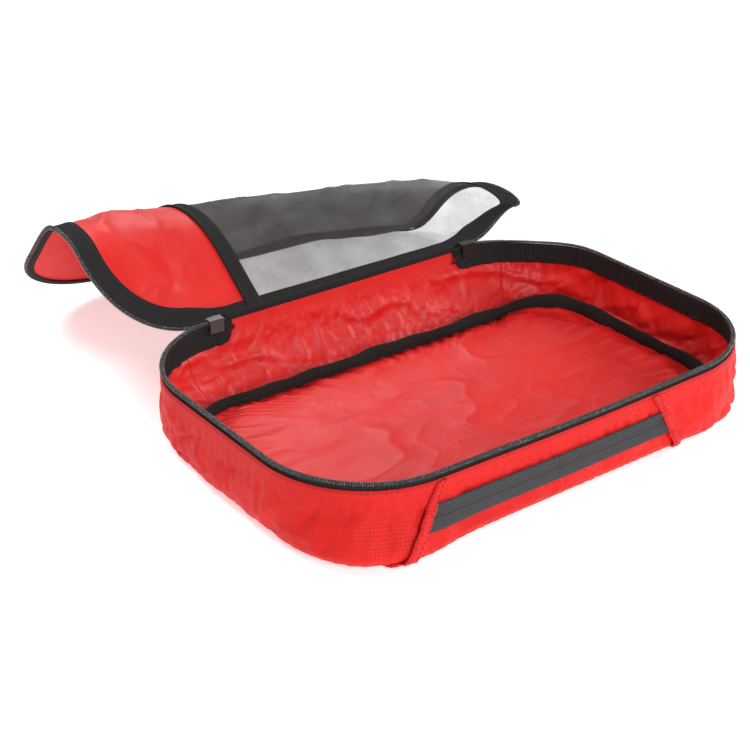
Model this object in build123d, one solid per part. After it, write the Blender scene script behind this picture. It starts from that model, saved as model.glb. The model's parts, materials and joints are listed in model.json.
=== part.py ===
from build123d import *

import os
from math import cos, degrees, pi, radians, sin

# A shallow zip-around packing case, standing on its floor with its lid thrown open.
# X runs along the long side, +Y points from the handle to the hinge and +Z points up.
# The origin is the centre of the floor, on the surface that the case stands on.

# ---- driving dimensions, in millimetres and degrees ----
case_length = 360.0          # over the rim, along X
case_depth = 242.0           # over the rim, along Y
rim_height = 52.0            # floor surface to the top of the rim's zipper coil
corner_radius = 72.0         # plan corners of the case and of the lid

fabric = 1.2                 # coated cloth of the floor and the walls
tape_thickness = 1.0         # woven zipper tape
tape_width = 16.0            # one side of the zipper tape
tape_lap = 4.6               # how far the wall laps over the tape
coil_width = 3.0             # zipper coil, across the tape's thickness
coil_height = 2.6            # zipper coil, along the tape's width
binding_height = 8.0         # binding round the floor seam
binding_thickness = 2.4

hinge_half_length = 100.0    # the hinge runs from -X to +X of this
hinge_bead_radius = 2.5      # rolled seam that the lid turns on
bead_clearance = 0.4

back_seam_x = 140.0          # upright seams of the back wall
seam_top_left = -107.0       # slanted seams beside the handle, at the wall's top
seam_foot_left = -134.0      # and at the floor
seam_top_right = 68.0
seam_foot_right = 89.0
seam_strip_width = 6.0
seam_strip_thickness = 1.0
seam_strip_margin = 3.0      # bare wall above and below a seam strip

webbing_width = 20.0
webbing_thickness = 1.6
webbing_foot = 12.0          # floor surface to the webbing's lower edge
grip_left = -104.0
grip_right = 60.0
grip_clearance = 0.4

lid_panel = 1.0              # lid cloth and mesh
lid_tape_width = 16.0
divider_width = 12.0         # tape between the coated panel and the mesh
divider_x = -74.0            # middle of the divider
open_slope = 32.0            # the lid's first run rises at this angle
fold_angle = 94.0            # the open lid bends over by this much
fold_radius = 54.0
lid_rear_run = 78.0          # flat run from the hinge to the fold
split_gap = 0.4              # between the two halves of the lid

slider_length = 11.0         # along the coil
slider_lead = 4.0            # part of the slider that stands before the corner
slider_plate = 1.3
slider_clearance = 0.4
slider_skirt = 8.0           # how far the inner plate hangs below the rim
slider_outer_skirt = 12.0
crown_width = 2.4
crown_height = 4.0
crown_reach = 3.5
crown_hole_radius = 1.25
pull_width = 7.0
pull_length = 24.0
pull_thickness = 1.3
pull_window_width = 4.2
pull_window_height = 3.45

tack_width = 3.0             # bar tacks at the ends of the zipper
tack_height = 9.0
tack_thickness = 0.8

# ---- values that follow from them ----
coil_inset = 0.2                                     # rim outline to the coil's outer face
tape_inset = fabric                                  # the tape lies inside the wall cloth
coil_foot = rim_height - coil_height
tape_foot = coil_foot - tape_width
wall_top = tape_foot + tape_lap
binding_inset = fabric + binding_thickness
hinge_y = case_depth / 2
hinge_z = rim_height
corner_x = case_length / 2 - corner_radius           # centre of a plan corner
corner_y = case_depth / 2 - corner_radius

lid_face = hinge_bead_radius + bead_clearance        # hinge line to the lid's inner face
lid_coil_face = lid_face - (coil_width - lid_panel) / 2
fold_arc = fold_radius * radians(fold_angle)
fold_end = lid_rear_run + fold_arc                   # along the lid, from the hinge
lid_inner = coil_height + lid_tape_width             # rim outline to the lid's cloth
divider_left = divider_x - divider_width / 2
divider_right = divider_x + divider_width / 2
free_slope = open_slope - fold_angle                 # slope of the lid's last run


def block(x_low, x_high, y_low, y_high, z_low, z_high):
    """A box between two corners."""
    size = Box(x_high - x_low, y_high - y_low, z_high - z_low)
    return Pos((x_low + x_high) / 2, (y_low + y_high) / 2, (z_low + z_high) / 2) * size


def outline(inset):
    """Plan of the case, drawn in from the rim by inset."""
    return RectangleRounded(case_length - 2 * inset, case_depth - 2 * inset, corner_radius - inset)


def wall_ring(outer_inset, inner_inset, z_low, z_high):
    """An upright band all round the case."""
    ring = outline(outer_inset) - outline(inner_inset)
    return extrude(Pos(0, 0, z_low) * ring, amount=z_high - z_low)


def front_prism(corners):
    """A prism over the front half of the case from (x, z) corners."""
    front = -case_depth
    face = make_face(Polyline(*[(x, front, z) for x, z in corners], close=True))
    return extrude(face, amount=case_depth, dir=(0, 1, 0))


def seam_x(side, height):
    """Where a slanted seam lies at a height."""
    top, foot = (seam_top_left, seam_foot_left) if side < 0 else (seam_top_right, seam_foot_right)
    return foot + (top - foot) * height / wall_top


def between_seams(margin, z_low, z_high):
    """The front between the two slanted seams, less a margin beside each."""
    return front_prism([
        (seam_x(-1, z_low) + margin, z_low),
        (seam_x(1, z_low) - margin, z_low),
        (seam_x(1, z_high) - margin, z_high),
        (seam_x(-1, z_high) + margin, z_high),
    ])


# ---- the case ----

def floor_panel():
    return extrude(outline(0), amount=fabric)


def walls():
    """Front, back, left and right walls of one upright band, parted at the seams."""
    ring = wall_ring(0, fabric, fabric, wall_top)
    front_zone = between_seams(0, 0, wall_top)
    back_zone = block(-back_seam_x, back_seam_x, 0, case_depth, 0, wall_top)
    left_zone = block(-case_length, 0, -case_depth, case_depth, 0, wall_top)
    right_zone = block(0, case_length, -case_depth, case_depth, 0, wall_top)
    sides = ring - front_zone - back_zone
    return {
        "wall_front": ring & front_zone,
        "wall_back": ring & back_zone,
        "wall_left": sides & left_zone,
        "wall_right": sides & right_zone,
    }


def hinge_zone(half_length):
    """Room at the back that the zipper leaves to the hinge."""
    return block(-half_length, half_length, 0, case_depth, 0, 2 * rim_height)


def zipper_tape_bag():
    ring = wall_ring(tape_inset, tape_inset + tape_thickness, tape_foot, coil_foot)
    return ring - hinge_zone(hinge_half_length)


def zipper_coil_bag():
    ring = wall_ring(coil_inset, coil_inset + coil_width, coil_foot, rim_height)
    return ring - hinge_zone(hinge_half_length)


def hinge_bead():
    """Rolled seam along the hinge line."""
    rod = Rot(0, 90, 0) * Cylinder(hinge_bead_radius, 2 * hinge_half_length)
    return Pos(0, hinge_y, hinge_z) * rod


def hinge_tape_bag():
    """Tape between the back wall and the rolled seam."""
    ring = wall_ring(tape_inset, tape_inset + tape_thickness, wall_top - tape_lap, rim_height)
    return (ring & hinge_zone(hinge_half_length)) - hinge_bead()


def floor_binding():
    return wall_ring(fabric, binding_inset, fabric, fabric + binding_height)


def seam_strip(side):
    """Folded strip sewn over a slanted seam, on the outside of the wall."""
    z_low = fabric + seam_strip_margin
    z_high = wall_top - seam_strip_margin
    half = seam_strip_width / 2
    zone = front_prism([
        (seam_x(side, z_low) - half, z_low),
        (seam_x(side, z_low) + half, z_low),
        (seam_x(side, z_high) + half, z_high),
        (seam_x(side, z_high) - half, z_high),
    ])
    return wall_ring(-seam_strip_thickness, 0, 0, wall_top) & zone


def handle_end(side):
    """The sewn-down end of the handle, from the grip to its seam strip."""
    ring = wall_ring(-webbing_thickness, 0, webbing_foot, webbing_foot + webbing_width)
    zone = between_seams(seam_strip_width / 2, webbing_foot, webbing_foot + webbing_width)
    if side < 0:
        reach = block(-case_length, grip_left - grip_clearance, -case_depth, 0, 0, rim_height)
    else:
        reach = block(grip_right + grip_clearance, case_length, -case_depth, 0, 0, rim_height)
    return ring & zone & reach


def handle_webbing():
    """The free length of the webbing, lying along the front wall."""
    wall_face = -case_depth / 2 - grip_clearance
    return block(grip_left, grip_right, wall_face - webbing_thickness, wall_face,
                 webbing_foot, webbing_foot + webbing_width)


def bar_tack(side):
    """Dense stitches across the end of the zipper, on the inside of the tape."""
    inner_face = case_depth / 2 - tape_inset - tape_thickness
    near = side * hinge_half_length
    far = side * (hinge_half_length - tack_width)
    return block(min(near, far), max(near, far), inner_face - tack_thickness, inner_face,
                 coil_foot - tack_height, coil_foot)


# ---- the sliders, which run round the back corners of the rim ----

class SliderPlace:
    """Directions at one slider: round the corner's axis, out from it, and up."""

    def __init__(self, side):
        self.side = side
        self.centre = (side * corner_x, corner_y)
        self.track_radius = corner_radius - coil_inset - coil_width / 2
        self.lead = degrees(slider_lead / self.track_radius)
        self.arc = degrees(slider_length / self.track_radius)

    def upright(self, angle):
        """Upright plane through the corner's axis; its x is the radius and its y is the height."""
        swing = 90 - self.side * angle
        out = Vector(cos(radians(swing)), sin(radians(swing)), 0)
        return Plane(origin=(*self.centre, 0), x_dir=out, z_dir=out.cross(Vector(0, 0, 1)))

    def sweep(self, corners):
        """Turn a (radius, height) outline along the slider's length."""
        face = self.upright(-self.lead) * make_face(Polyline(*corners, close=True))
        axis = Axis((*self.centre, 0), (0, 0, -self.side))
        return revolve(face, axis=axis, revolution_arc=self.arc)

    def middle(self):
        """Plane at the middle of the slider: x is the radius, y the height, z along the coil."""
        return self.upright(self.arc / 2 - self.lead)


def slider_section():
    """Slider outline as (radius, height): two plates joined over the coil."""
    coil_outer = corner_radius - coil_inset
    outer_in = coil_outer + slider_clearance
    outer_out = outer_in + slider_plate
    inner_out = coil_outer - coil_width - slider_clearance
    inner_in = inner_out - slider_plate
    web_low = rim_height + slider_clearance
    web_high = web_low + slider_plate - slider_clearance / 2
    inner_foot = rim_height - slider_skirt
    outer_foot = rim_height - slider_outer_skirt
    return [
        (inner_in, inner_foot), (inner_out, inner_foot), (inner_out, web_low),
        (outer_in, web_low), (outer_in, outer_foot), (outer_out, outer_foot),
        (outer_out, web_high), (inner_in, web_high),
    ]


def slider_outer_face():
    """Radius of the slider's outer face."""
    return corner_radius - coil_inset + slider_clearance + slider_plate


def crown_hole():
    """Radius and height of the hole that the pull swings in."""
    return (slider_outer_face() + crown_hole_radius + 0.2,
            rim_height - slider_outer_skirt + crown_height + 0.6)


def slider_body(side):
    place = SliderPlace(side)
    body = place.sweep(slider_section())
    hole_out, hole_up = crown_hole()
    sunk = slider_plate / 2
    crown = Box(crown_reach + sunk, crown_height, crown_width)
    crown_out = slider_outer_face() - sunk + (crown_reach + sunk) / 2
    bore = Cylinder(crown_hole_radius, 2 * crown_width)
    middle = place.middle()
    body += middle * Pos(crown_out, hole_up, 0) * crown
    return body - middle * Pos(hole_out, hole_up, 0) * bore


def slider_pull(side):
    """Flat tab with an eye at its top, whose bar lies in the slider's crown."""
    hole_out, hole_up = crown_hole()
    top = hole_up + pull_thickness / 2
    tab = Pos(hole_out, top - pull_length / 2, 0) * Box(pull_thickness, pull_length, pull_width)
    window_up = top - pull_thickness - pull_window_height / 2
    window = Box(2 * pull_thickness, pull_window_height, pull_window_width)
    tab -= Pos(hole_out, window_up, 0) * window
    return SliderPlace(side).middle() * tab


# ---- the lid, a bent sheet in two halves that part at the crest of its fold ----

def direction(angle):
    """Unit vector in the YZ plane; 0 points along +Y and 90 points up."""
    return Vector(0, cos(radians(angle)), sin(radians(angle)))


def rear_plane():
    """Plane of the lid's first run: x along the hinge, y away from it, z out of its inner face."""
    return Plane(origin=(0, hinge_y, hinge_z), x_dir=(1, 0, 0), z_dir=direction(open_slope + 90))


def fold_centre():
    """Axis of the fold's arc."""
    start = Vector(0, hinge_y, hinge_z) + direction(open_slope) * lid_rear_run
    return start + direction(open_slope - 90) * fold_radius


def front_plane():
    """Plane of the lid's last run, from the end of the fold."""
    start = fold_centre() + direction(free_slope + 90) * fold_radius
    return Plane(origin=start, x_dir=(1, 0, 0), z_dir=direction(free_slope + 90))


def fold_span(half):
    """Angles of one half of the fold, from the crest side's split to its flat run."""
    gap = degrees(split_gap / 2 / fold_radius)
    crest = open_slope + 90 - fold_angle / 2
    if half == "rear":
        return crest + gap, open_slope + 90
    return free_slope + 90, crest - gap


def fold_strip(half, x_low, x_high, face, depth):
    """One half of the fold between two X values, from its inner face inwards by depth."""
    low, high = fold_span(half)
    centre = fold_centre()
    outer = CenterArc((centre.Y, centre.Z), fold_radius - face, low, high - low)
    inner = CenterArc((centre.Y, centre.Z), fold_radius - face - depth, low, high - low)
    ends = [Line(outer @ 0, inner @ 0), Line(outer @ 1, inner @ 1)]
    section = Plane.YZ * make_face([outer, inner, *ends])
    return extrude(Pos(x_low, 0, 0) * section, amount=x_high - x_low)


def flat_run(half, plan, face, depth):
    """The part of a lid plan that lies in one flat run, given its thickness."""
    if half == "rear":
        plane, start, end = rear_plane(), 0, lid_rear_run
    else:
        plane, start, end = front_plane(), fold_end, case_depth
    window = Pos(0, (start + end) / 2) * Rectangle(2 * case_length, end - start)
    piece = Pos(0, -start, -face - depth) * extrude(plan & window, amount=depth)
    return plane * piece


def lid_plan(outer_inset, inner_inset=None):
    """Lid outline in its own plane, with the hinge line at y = 0."""
    plan = outline(outer_inset)
    if inner_inset is not None:
        plan -= outline(inner_inset)
    return Pos(0, case_depth / 2) * plan


def lid_piece(half, plan, spans, face, depth):
    """A lid piece from its flat plan and from the X spans that cross the fold."""
    piece = flat_run(half, plan, face, depth)
    for x_low, x_high in spans:
        piece += fold_strip(half, x_low, x_high, face, depth)
    return piece


def plan_strip(x_low, x_high):
    """A band of the lid's plan between two X values."""
    return Pos((x_low + x_high) / 2, case_depth / 2) * Rectangle(x_high - x_low, 2 * case_depth)


def lid_cloth(half, x_low, x_high):
    """A panel or band of the lid inside its edge tape."""
    plan = lid_plan(lid_inner) & plan_strip(x_low, x_high)
    edge = case_length / 2 - lid_inner
    span = (max(x_low, -edge), min(x_high, edge))
    return lid_piece(half, plan, [span], lid_face, lid_panel)


def lid_tape(half):
    """Edge tape round one half of the lid, up to the rolled seam at the hinge."""
    plan = lid_plan(coil_height, lid_inner)
    if half == "rear":
        plan += Pos(0, coil_height / 2) * Rectangle(2 * hinge_half_length, coil_height)
    outer = case_length / 2 - coil_height
    inner = case_length / 2 - lid_inner
    spans = [(-outer, -inner), (inner, outer)]
    return lid_piece(half, plan, spans, lid_face, lid_panel)


def lid_coil(half):
    """Zipper coil on the edge of one half of the lid; the rear one starts beyond the sliders."""
    plan = lid_plan(0, coil_height)
    if half == "rear":
        start = corner_x + slider_length - slider_lead + grip_clearance
        plan -= Rectangle(2 * start, case_depth)
    outer = case_length / 2
    inner = outer - coil_height
    spans = [(-outer, -inner), (inner, outer)]
    return lid_piece(half, plan, spans, lid_coil_face, coil_width)


def lid_nodes():
    nodes = {}
    for half in ("rear", "front"):
        nodes[f"lid_coated_panel_{half}"] = lid_cloth(half, -case_length, divider_left)
        nodes[f"lid_divider_{half}"] = lid_cloth(half, divider_left, divider_right)
        nodes[f"lid_mesh_{half}"] = lid_cloth(half, divider_right, case_length)
        nodes[f"lid_tape_{half}"] = lid_tape(half)
        nodes[f"lid_coil_{half}"] = lid_coil(half)
    return nodes


def sided_nodes():
    nodes = {}
    for name, side in (("left", -1), ("right", 1)):
        nodes[f"handle_seam_{name}"] = seam_strip(side)
        nodes[f"handle_end_{name}"] = handle_end(side)
        nodes[f"bar_tack_{name}"] = bar_tack(side)
        nodes[f"slider_body_{name}"] = slider_body(side)
        nodes[f"slider_pull_{name}"] = slider_pull(side)
    return nodes


def case_nodes():
    return {
        "floor_panel": floor_panel(),
        **walls(),
        "floor_binding": floor_binding(),
        "zipper_tape_bag": zipper_tape_bag(),
        "zipper_coil_bag": zipper_coil_bag(),
        "hinge_tape_bag": hinge_tape_bag(),
        "hinge_binding": hinge_bead(),
        "handle_webbing": handle_webbing(),
    }


def print_joints():
    """The places that the joints are given from."""
    half_fold = radians(fold_angle / 2)
    pivot = fold_centre() + direction(open_slope + 90 - fold_angle / 2) * (
        fold_radius * half_fold / sin(half_fold))
    hole_out, hole_up = crown_hole()
    turn = radians(SliderPlace(1).arc / 2 - SliderPlace(1).lead)
    print("lid hinge at", hinge_y, hinge_z, "closes by", 180 - open_slope)
    print("lid fold at", round(pivot.Y, 3), round(pivot.Z, 3), "flattens by", fold_angle)
    print("slider corner at", corner_x, corner_y, "track", SliderPlace(1).track_radius)
    print("pull hinge at", round(corner_x + hole_out * sin(turn), 3),
          round(corner_y + hole_out * cos(turn), 3), round(hole_up, 3),
          "turned by", round(turn * 180 / pi, 3))


def main():
    os.makedirs("parts", exist_ok=True)
    nodes = {**case_nodes(), **sided_nodes(), **lid_nodes()}
    for name, shape in nodes.items():
        export_step(shape, f"parts/{name}.step")
    print_joints()


main()
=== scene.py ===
"""Looks of a zip-around packing case: coated cloth, mesh, tapes, zipper and webbing round its CAD frame."""

from __future__ import annotations

import json
import logging
import math
from dataclasses import dataclass, field
from enum import Enum
from functools import cached_property

import bpy
import numpy as np
from mathutils import Matrix, Vector, noise

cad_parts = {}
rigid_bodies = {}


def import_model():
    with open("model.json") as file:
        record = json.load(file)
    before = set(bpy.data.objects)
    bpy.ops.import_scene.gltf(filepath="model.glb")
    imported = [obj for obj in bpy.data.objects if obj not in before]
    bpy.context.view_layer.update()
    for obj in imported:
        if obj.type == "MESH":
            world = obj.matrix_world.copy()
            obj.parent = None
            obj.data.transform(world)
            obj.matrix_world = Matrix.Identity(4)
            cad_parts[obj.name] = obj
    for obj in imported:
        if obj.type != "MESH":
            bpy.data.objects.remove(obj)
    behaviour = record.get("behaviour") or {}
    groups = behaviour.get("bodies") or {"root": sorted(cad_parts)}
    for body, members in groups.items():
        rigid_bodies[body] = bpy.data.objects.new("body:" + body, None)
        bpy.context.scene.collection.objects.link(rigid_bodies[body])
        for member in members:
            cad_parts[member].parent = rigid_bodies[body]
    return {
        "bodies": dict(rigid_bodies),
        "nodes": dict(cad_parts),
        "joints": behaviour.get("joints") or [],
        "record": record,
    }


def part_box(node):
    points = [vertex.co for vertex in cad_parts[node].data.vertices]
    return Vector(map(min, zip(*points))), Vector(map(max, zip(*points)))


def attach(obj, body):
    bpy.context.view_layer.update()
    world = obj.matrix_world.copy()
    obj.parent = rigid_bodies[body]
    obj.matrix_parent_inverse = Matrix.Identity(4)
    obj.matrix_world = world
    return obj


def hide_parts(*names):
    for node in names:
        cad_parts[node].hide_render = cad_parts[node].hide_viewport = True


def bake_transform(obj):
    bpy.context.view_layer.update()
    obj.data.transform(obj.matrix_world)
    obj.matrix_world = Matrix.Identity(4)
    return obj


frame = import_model()

LOG = logging.getLogger("packing_case")
MM = 0.001


# ---------------------------------------------------------------- shader maths

class Wire:
    """A value socket that takes part in Python expressions, each adding its Math nodes."""

    def __init__(self, shader: "Shader", socket: bpy.types.NodeSocket) -> None:
        """Wrap a socket.

        Args:
            shader: The material that the socket is in.
            socket: The output socket.
        """
        self.shader = shader
        self.socket = socket

    def _math(self, operation: str, *values: "Wire | float") -> "Wire":
        """Add one Math node.

        Args:
            operation: The node's operation.
            values: Its inputs, in order.

        Returns:
            The node's result.
        """
        return self.shader.node("ShaderNodeMath", {"operation": operation}, dict(enumerate(values)))

    def __add__(self, other: "Wire | float") -> "Wire":
        """Sum."""
        return self._math("ADD", self, other)

    __radd__ = __add__

    def __sub__(self, other: "Wire | float") -> "Wire":
        """Difference."""
        return self._math("SUBTRACT", self, other)

    def __rsub__(self, other: "Wire | float") -> "Wire":
        """Difference with the plain number first."""
        return self._math("SUBTRACT", other, self)

    def __mul__(self, other: "Wire | float") -> "Wire":
        """Product."""
        return self._math("MULTIPLY", self, other)

    __rmul__ = __mul__

    def __truediv__(self, other: "Wire | float") -> "Wire":
        """Quotient."""
        return self._math("DIVIDE", self, other)

    def __pow__(self, other: "Wire | float") -> "Wire":
        """Power."""
        return self._math("POWER", self, other)

    def __abs__(self) -> "Wire":
        """Size without sign."""
        return self._math("ABSOLUTE", self)

    def fraction(self) -> "Wire":
        """Part after the decimal point."""
        return self._math("FRACT", self)

    def triangle(self, period: float) -> "Wire":
        """A wave from 0 to 1 and back over each period."""
        return abs((self / period).fraction() * 2.0 - 1.0)

    def over(self, edge: "Wire | float") -> "Wire":
        """1 where the value is over the edge, else 0."""
        return self._math("GREATER_THAN", self, edge)

    def largest(self, other: "Wire | float") -> "Wire":
        """The larger of two values."""
        return self._math("MAXIMUM", self, other)

    def step(self, low: float, high: float) -> "Wire":
        """Smooth rise from 0 at low to 1 at high."""
        settings = {"interpolation_type": "SMOOTHSTEP"}
        return self.shader.node("ShaderNodeMapRange", settings, {0: self, 1: low, 2: high})


class Shader:
    """One material under construction, with its Principled node at the end."""

    def __init__(self, name: str) -> None:
        """Start a material.

        Args:
            name: The material's name.
        """
        self.material = bpy.data.materials.new(name)
        self.material.use_nodes = True
        self.tree = self.material.node_tree
        self.tree.nodes.clear()
        self.principled = self.tree.nodes.new("ShaderNodeBsdfPrincipled")
        self.output = self.tree.nodes.new("ShaderNodeOutputMaterial")
        self.tree.links.new(self.principled.outputs[0], self.output.inputs[0])

    def node(self, kind: str, settings: dict | None = None, inputs: dict | None = None,
             output: int | str = 0) -> Wire:
        """Add any node.

        Args:
            kind: The node's type.
            settings: Its properties, set before its sockets; stops fill a colour ramp.
            inputs: Values or wires for its sockets, by name or number.
            output: The output wanted.

        Returns:
            That output.
        """
        made = self.tree.nodes.new(kind)
        for name, value in (settings or {}).items():
            if name == "stops":
                self._fill_ramp(made.color_ramp, value)
            else:
                setattr(made, name, value)
        for name, value in (inputs or {}).items():
            self.feed(made.inputs[name], value)
        return Wire(self, made.outputs[output])

    @staticmethod
    def _fill_ramp(ramp: bpy.types.ColorRamp, stops: list) -> None:
        """Give a colour ramp its (position, colour) stops."""
        while len(ramp.elements) < len(stops):
            ramp.elements.new(1.0)
        for element, (position, colour) in zip(ramp.elements, stops):
            element.position = position
            element.color = (*colour, 1.0)

    def feed(self, socket: bpy.types.NodeSocket, value: object) -> None:
        """Link a wire to a socket, or set the socket's own value."""
        if isinstance(value, Wire):
            self.tree.links.new(value.socket, socket)
        elif isinstance(value, tuple) and socket.type == "RGBA":
            socket.default_value = (*value, 1.0)
        else:
            socket.default_value = value

    def set(self, **values: object) -> None:
        """Set or link inputs of the Principled node; an underscore stands for a space."""
        for name, value in values.items():
            self.feed(self.principled.inputs[name.replace("_", " ")], value)

    def place(self, attribute: str) -> tuple[Wire, Wire]:
        """Two lengths in metres that a mesh carries in an attribute.

        Args:
            attribute: The attribute's name.

        Returns:
            The length along the cloth and the length across it.
        """
        vector = self.node("ShaderNodeAttribute", {"attribute_name": attribute}, output="Vector")
        split = self.node("ShaderNodeSeparateXYZ", inputs={0: vector})
        return split, Wire(self, split.socket.node.outputs[1])

    def position(self) -> Wire:
        """Place on the object, in metres."""
        return self.node("ShaderNodeTexCoord", output="Object")

    def noise(self, scale: float, detail: float = 3.0, vector: Wire | None = None) -> Wire:
        """Soft noise from 0 to 1.

        Args:
            scale: Spots per metre.
            detail: Finer layers.
            vector: Where it is read; on the object if left out.

        Returns:
            The noise.
        """
        inputs = {"Vector": vector or self.position(), "Scale": scale, "Detail": detail}
        return self.node("ShaderNodeTexNoise", inputs=inputs)

    def blend_colours(self, share: Wire, low: tuple, high: tuple) -> Wire:
        """Colour between two, by a share from 0 to 1."""
        settings = {"data_type": "RGBA"}
        return self.node("ShaderNodeMix", settings, {0: share, 6: low, 7: high}, output=2)

    def bump(self, height: Wire, distance: float, strength: float = 1.0) -> None:
        """Roughen the surface by a height.

        Args:
            height: From 0 to 1.
            distance: The height of 1, in metres.
            strength: Share of it that shows.
        """
        inputs = {"Height": height, "Distance": distance, "Strength": strength}
        self.set(Normal=self.node("ShaderNodeBump", inputs=inputs))


# ---------------------------------------------------------------- finishes

WEAVE = "weave"


class Face(Enum):
    """The two faces of the coated cloth."""

    OUTSIDE = "outside"
    INSIDE = "inside"


@dataclass(frozen=True)
class CoatedRipstop:
    """Red ripstop cloth: matt and gridded outside, glossy with its coating inside."""

    face: Face
    deep: tuple = (0.58, 0.006, 0.006)
    bright: tuple = (0.82, 0.018, 0.015)
    grid: float = 1.9 * MM

    def material(self) -> bpy.types.Material:
        """Make the finish."""
        shader = Shader(f"coated_cloth_{self.face.value}")
        along, across = shader.place(WEAVE)
        ribs = along.triangle(self.grid).largest(across.triangle(self.grid)).step(0.72, 0.98)
        threads = along.triangle(self.grid / 5) * 0.5 + across.triangle(self.grid / 5) * 0.5
        crinkle = shader.noise(90.0, 5.0)
        patches = shader.noise(18.0, 4.0).step(0.25, 0.75)
        outside = self.face is Face.OUTSIDE
        tone = patches * 0.35 + crinkle * 0.25 + (0.4 if outside else 0.45) - ribs * 0.12
        shader.set(Base_Color=shader.blend_colours(tone, self.deep, self.bright))
        if outside:
            shader.set(Roughness=0.55 + ribs * 0.1 - patches * 0.06, Specular_IOR_Level=0.25)
            shader.bump(ribs * 0.7 + threads * 0.2 + crinkle * 1.2, 0.22 * MM)
        else:
            shader.set(Roughness=0.34 + crinkle * 0.14, Specular_IOR_Level=0.42)
            shader.bump(ribs * 0.25 + crinkle * 1.8, 0.3 * MM)
        return shader.material


@dataclass(frozen=True)
class RibbedTape:
    """Black woven tape with ribs across its length."""

    name: str
    rib: float = 1.6 * MM
    height: float = 0.28 * MM
    dark: tuple = (0.003, 0.003, 0.003)
    worn: tuple = (0.042, 0.038, 0.038)

    def material(self) -> bpy.types.Material:
        """Make the finish."""
        shader = Shader(self.name)
        along, across = shader.place(WEAVE)
        wobble = shader.noise(220.0, 2.0) * (0.9 * MM)
        ribs = (along + wobble).triangle(self.rib)
        rows = (across + wobble).triangle(self.rib * 0.8)
        fuzz = shader.noise(1600.0, 3.0)
        tone = ribs * 0.55 + rows * 0.2 + fuzz * 0.45 - 0.15
        shader.set(Base_Color=shader.blend_colours(tone, self.dark, self.worn))
        shader.set(Roughness=0.72 + fuzz * 0.2, Specular_IOR_Level=0.16)
        shader.bump(ribs * 0.75 + rows * 0.35 + fuzz * 0.5, self.height)
        return shader.material


@dataclass(frozen=True)
class HerringboneWebbing:
    """Charcoal webbing whose slanted ribs meet along its middle."""

    width: float = 20 * MM
    rib: float = 2.3 * MM
    lean: float = 1.2

    def material(self) -> bpy.types.Material:
        """Make the finish."""
        shader = Shader("herringbone_webbing")
        along, across = shader.place(WEAVE)
        arm = abs(across)
        ribs = (along + arm * self.lean).triangle(self.rib)
        picks = across.triangle(self.rib * 0.55)
        middle = 1.0 - arm.step(0.0, 0.7 * MM)
        fuzz = shader.noise(1500.0, 3.0)
        tone = ribs * 0.75 + picks * 0.15 + fuzz * 0.4 - middle * 0.3 - 0.2
        shader.set(Base_Color=shader.blend_colours(tone, (0.004, 0.004, 0.004), (0.11, 0.11, 0.115)))
        shader.set(Roughness=0.6 + fuzz * 0.25, Specular_IOR_Level=0.25)
        shader.bump(ribs * 0.8 + picks * 0.35 - middle * 0.5, 0.35 * MM)
        return shader.material


@dataclass(frozen=True)
class KnitMesh:
    """Fine dark mesh that lets light through its holes."""

    pitch: float = 0.95 * MM
    cover: float = 0.07
    name: str = "knit_mesh"

    def material(self) -> bpy.types.Material:
        """Make the finish."""
        shader = Shader(self.name)
        along, across = shader.place(WEAVE)
        near = along + across * 0.5
        far = along - across * 0.5
        cells = near.triangle(self.pitch) * far.triangle(self.pitch)
        threads = 1.0 - cells.step(0.05, 0.55)
        cloudy = shader.noise(38.0, 4.0).step(0.3, 0.7)
        fuzz = shader.noise(700.0, 2.0)
        folded = across.step(0.08, 0.16)
        cover = threads * 0.24 + self.cover + cloudy * 0.10 + folded * 0.50
        shader.set(Base_Color=shader.blend_colours(fuzz, (0.020, 0.017, 0.016), (0.075, 0.066, 0.064)))
        shader.set(Roughness=0.6, Specular_IOR_Level=0.3, Alpha=cover)
        shader.bump(threads, 0.12 * MM)
        return shader.material


@dataclass(frozen=True)
class CoilNylon:
    """Black nylon of the zipper coil, with pale glints on its bends painted into its colour as painted
    highlights.
    """

    def material(self) -> bpy.types.Material:
        """Make the finish."""
        shader = Shader("coil_nylon")
        # Painted highlights: pale noise spots in the base colour stand for glints of light on the coil's
        # bends; roughness and bump follow the same spots.
        painted_glints = shader.noise(900.0, 2.0).step(0.45, 0.75)
        shader.set(Base_Color=shader.blend_colours(painted_glints, (0.03, 0.03, 0.03), (0.26, 0.26, 0.26)))
        shader.set(Roughness=0.3 + painted_glints * 0.2, Specular_IOR_Level=0.6)
        shader.bump(painted_glints, 0.05 * MM)
        return shader.material


@dataclass(frozen=True)
class SewingThread:
    """Twisted thread."""

    name: str
    colour: tuple
    twist: float = 0.5 * MM

    def material(self) -> bpy.types.Material:
        """Make the finish."""
        shader = Shader(self.name)
        along, across = shader.place(WEAVE)
        plies = (along + across * 0.6).triangle(self.twist)
        dark = tuple(value * 0.55 for value in self.colour)
        shader.set(Base_Color=shader.blend_colours(plies, dark, self.colour))
        shader.set(Roughness=0.55 + plies * 0.15, Sheen_Weight=0.15)
        shader.bump(plies, 0.08 * MM)
        return shader.material


@dataclass(frozen=True)
class WornEnamel:
    """Painted slider metal with rubbed edges."""

    name: str
    paint: tuple
    metal: tuple = (0.42, 0.43, 0.44)
    rubbed: float = 0.62

    def material(self) -> bpy.types.Material:
        """Make the finish."""
        shader = Shader(self.name)
        scuffs = shader.noise(420.0, 5.0).step(self.rubbed, self.rubbed + 0.1)
        grain = shader.noise(2200.0, 2.0)
        shader.set(Base_Color=shader.blend_colours(scuffs, self.paint, self.metal))
        shader.set(Metallic=0.15 + scuffs * 0.75, Roughness=0.34 + grain * 0.2 - scuffs * 0.06)
        shader.bump(grain * 0.5 - scuffs * 0.5, 0.04 * MM)
        return shader.material


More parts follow.
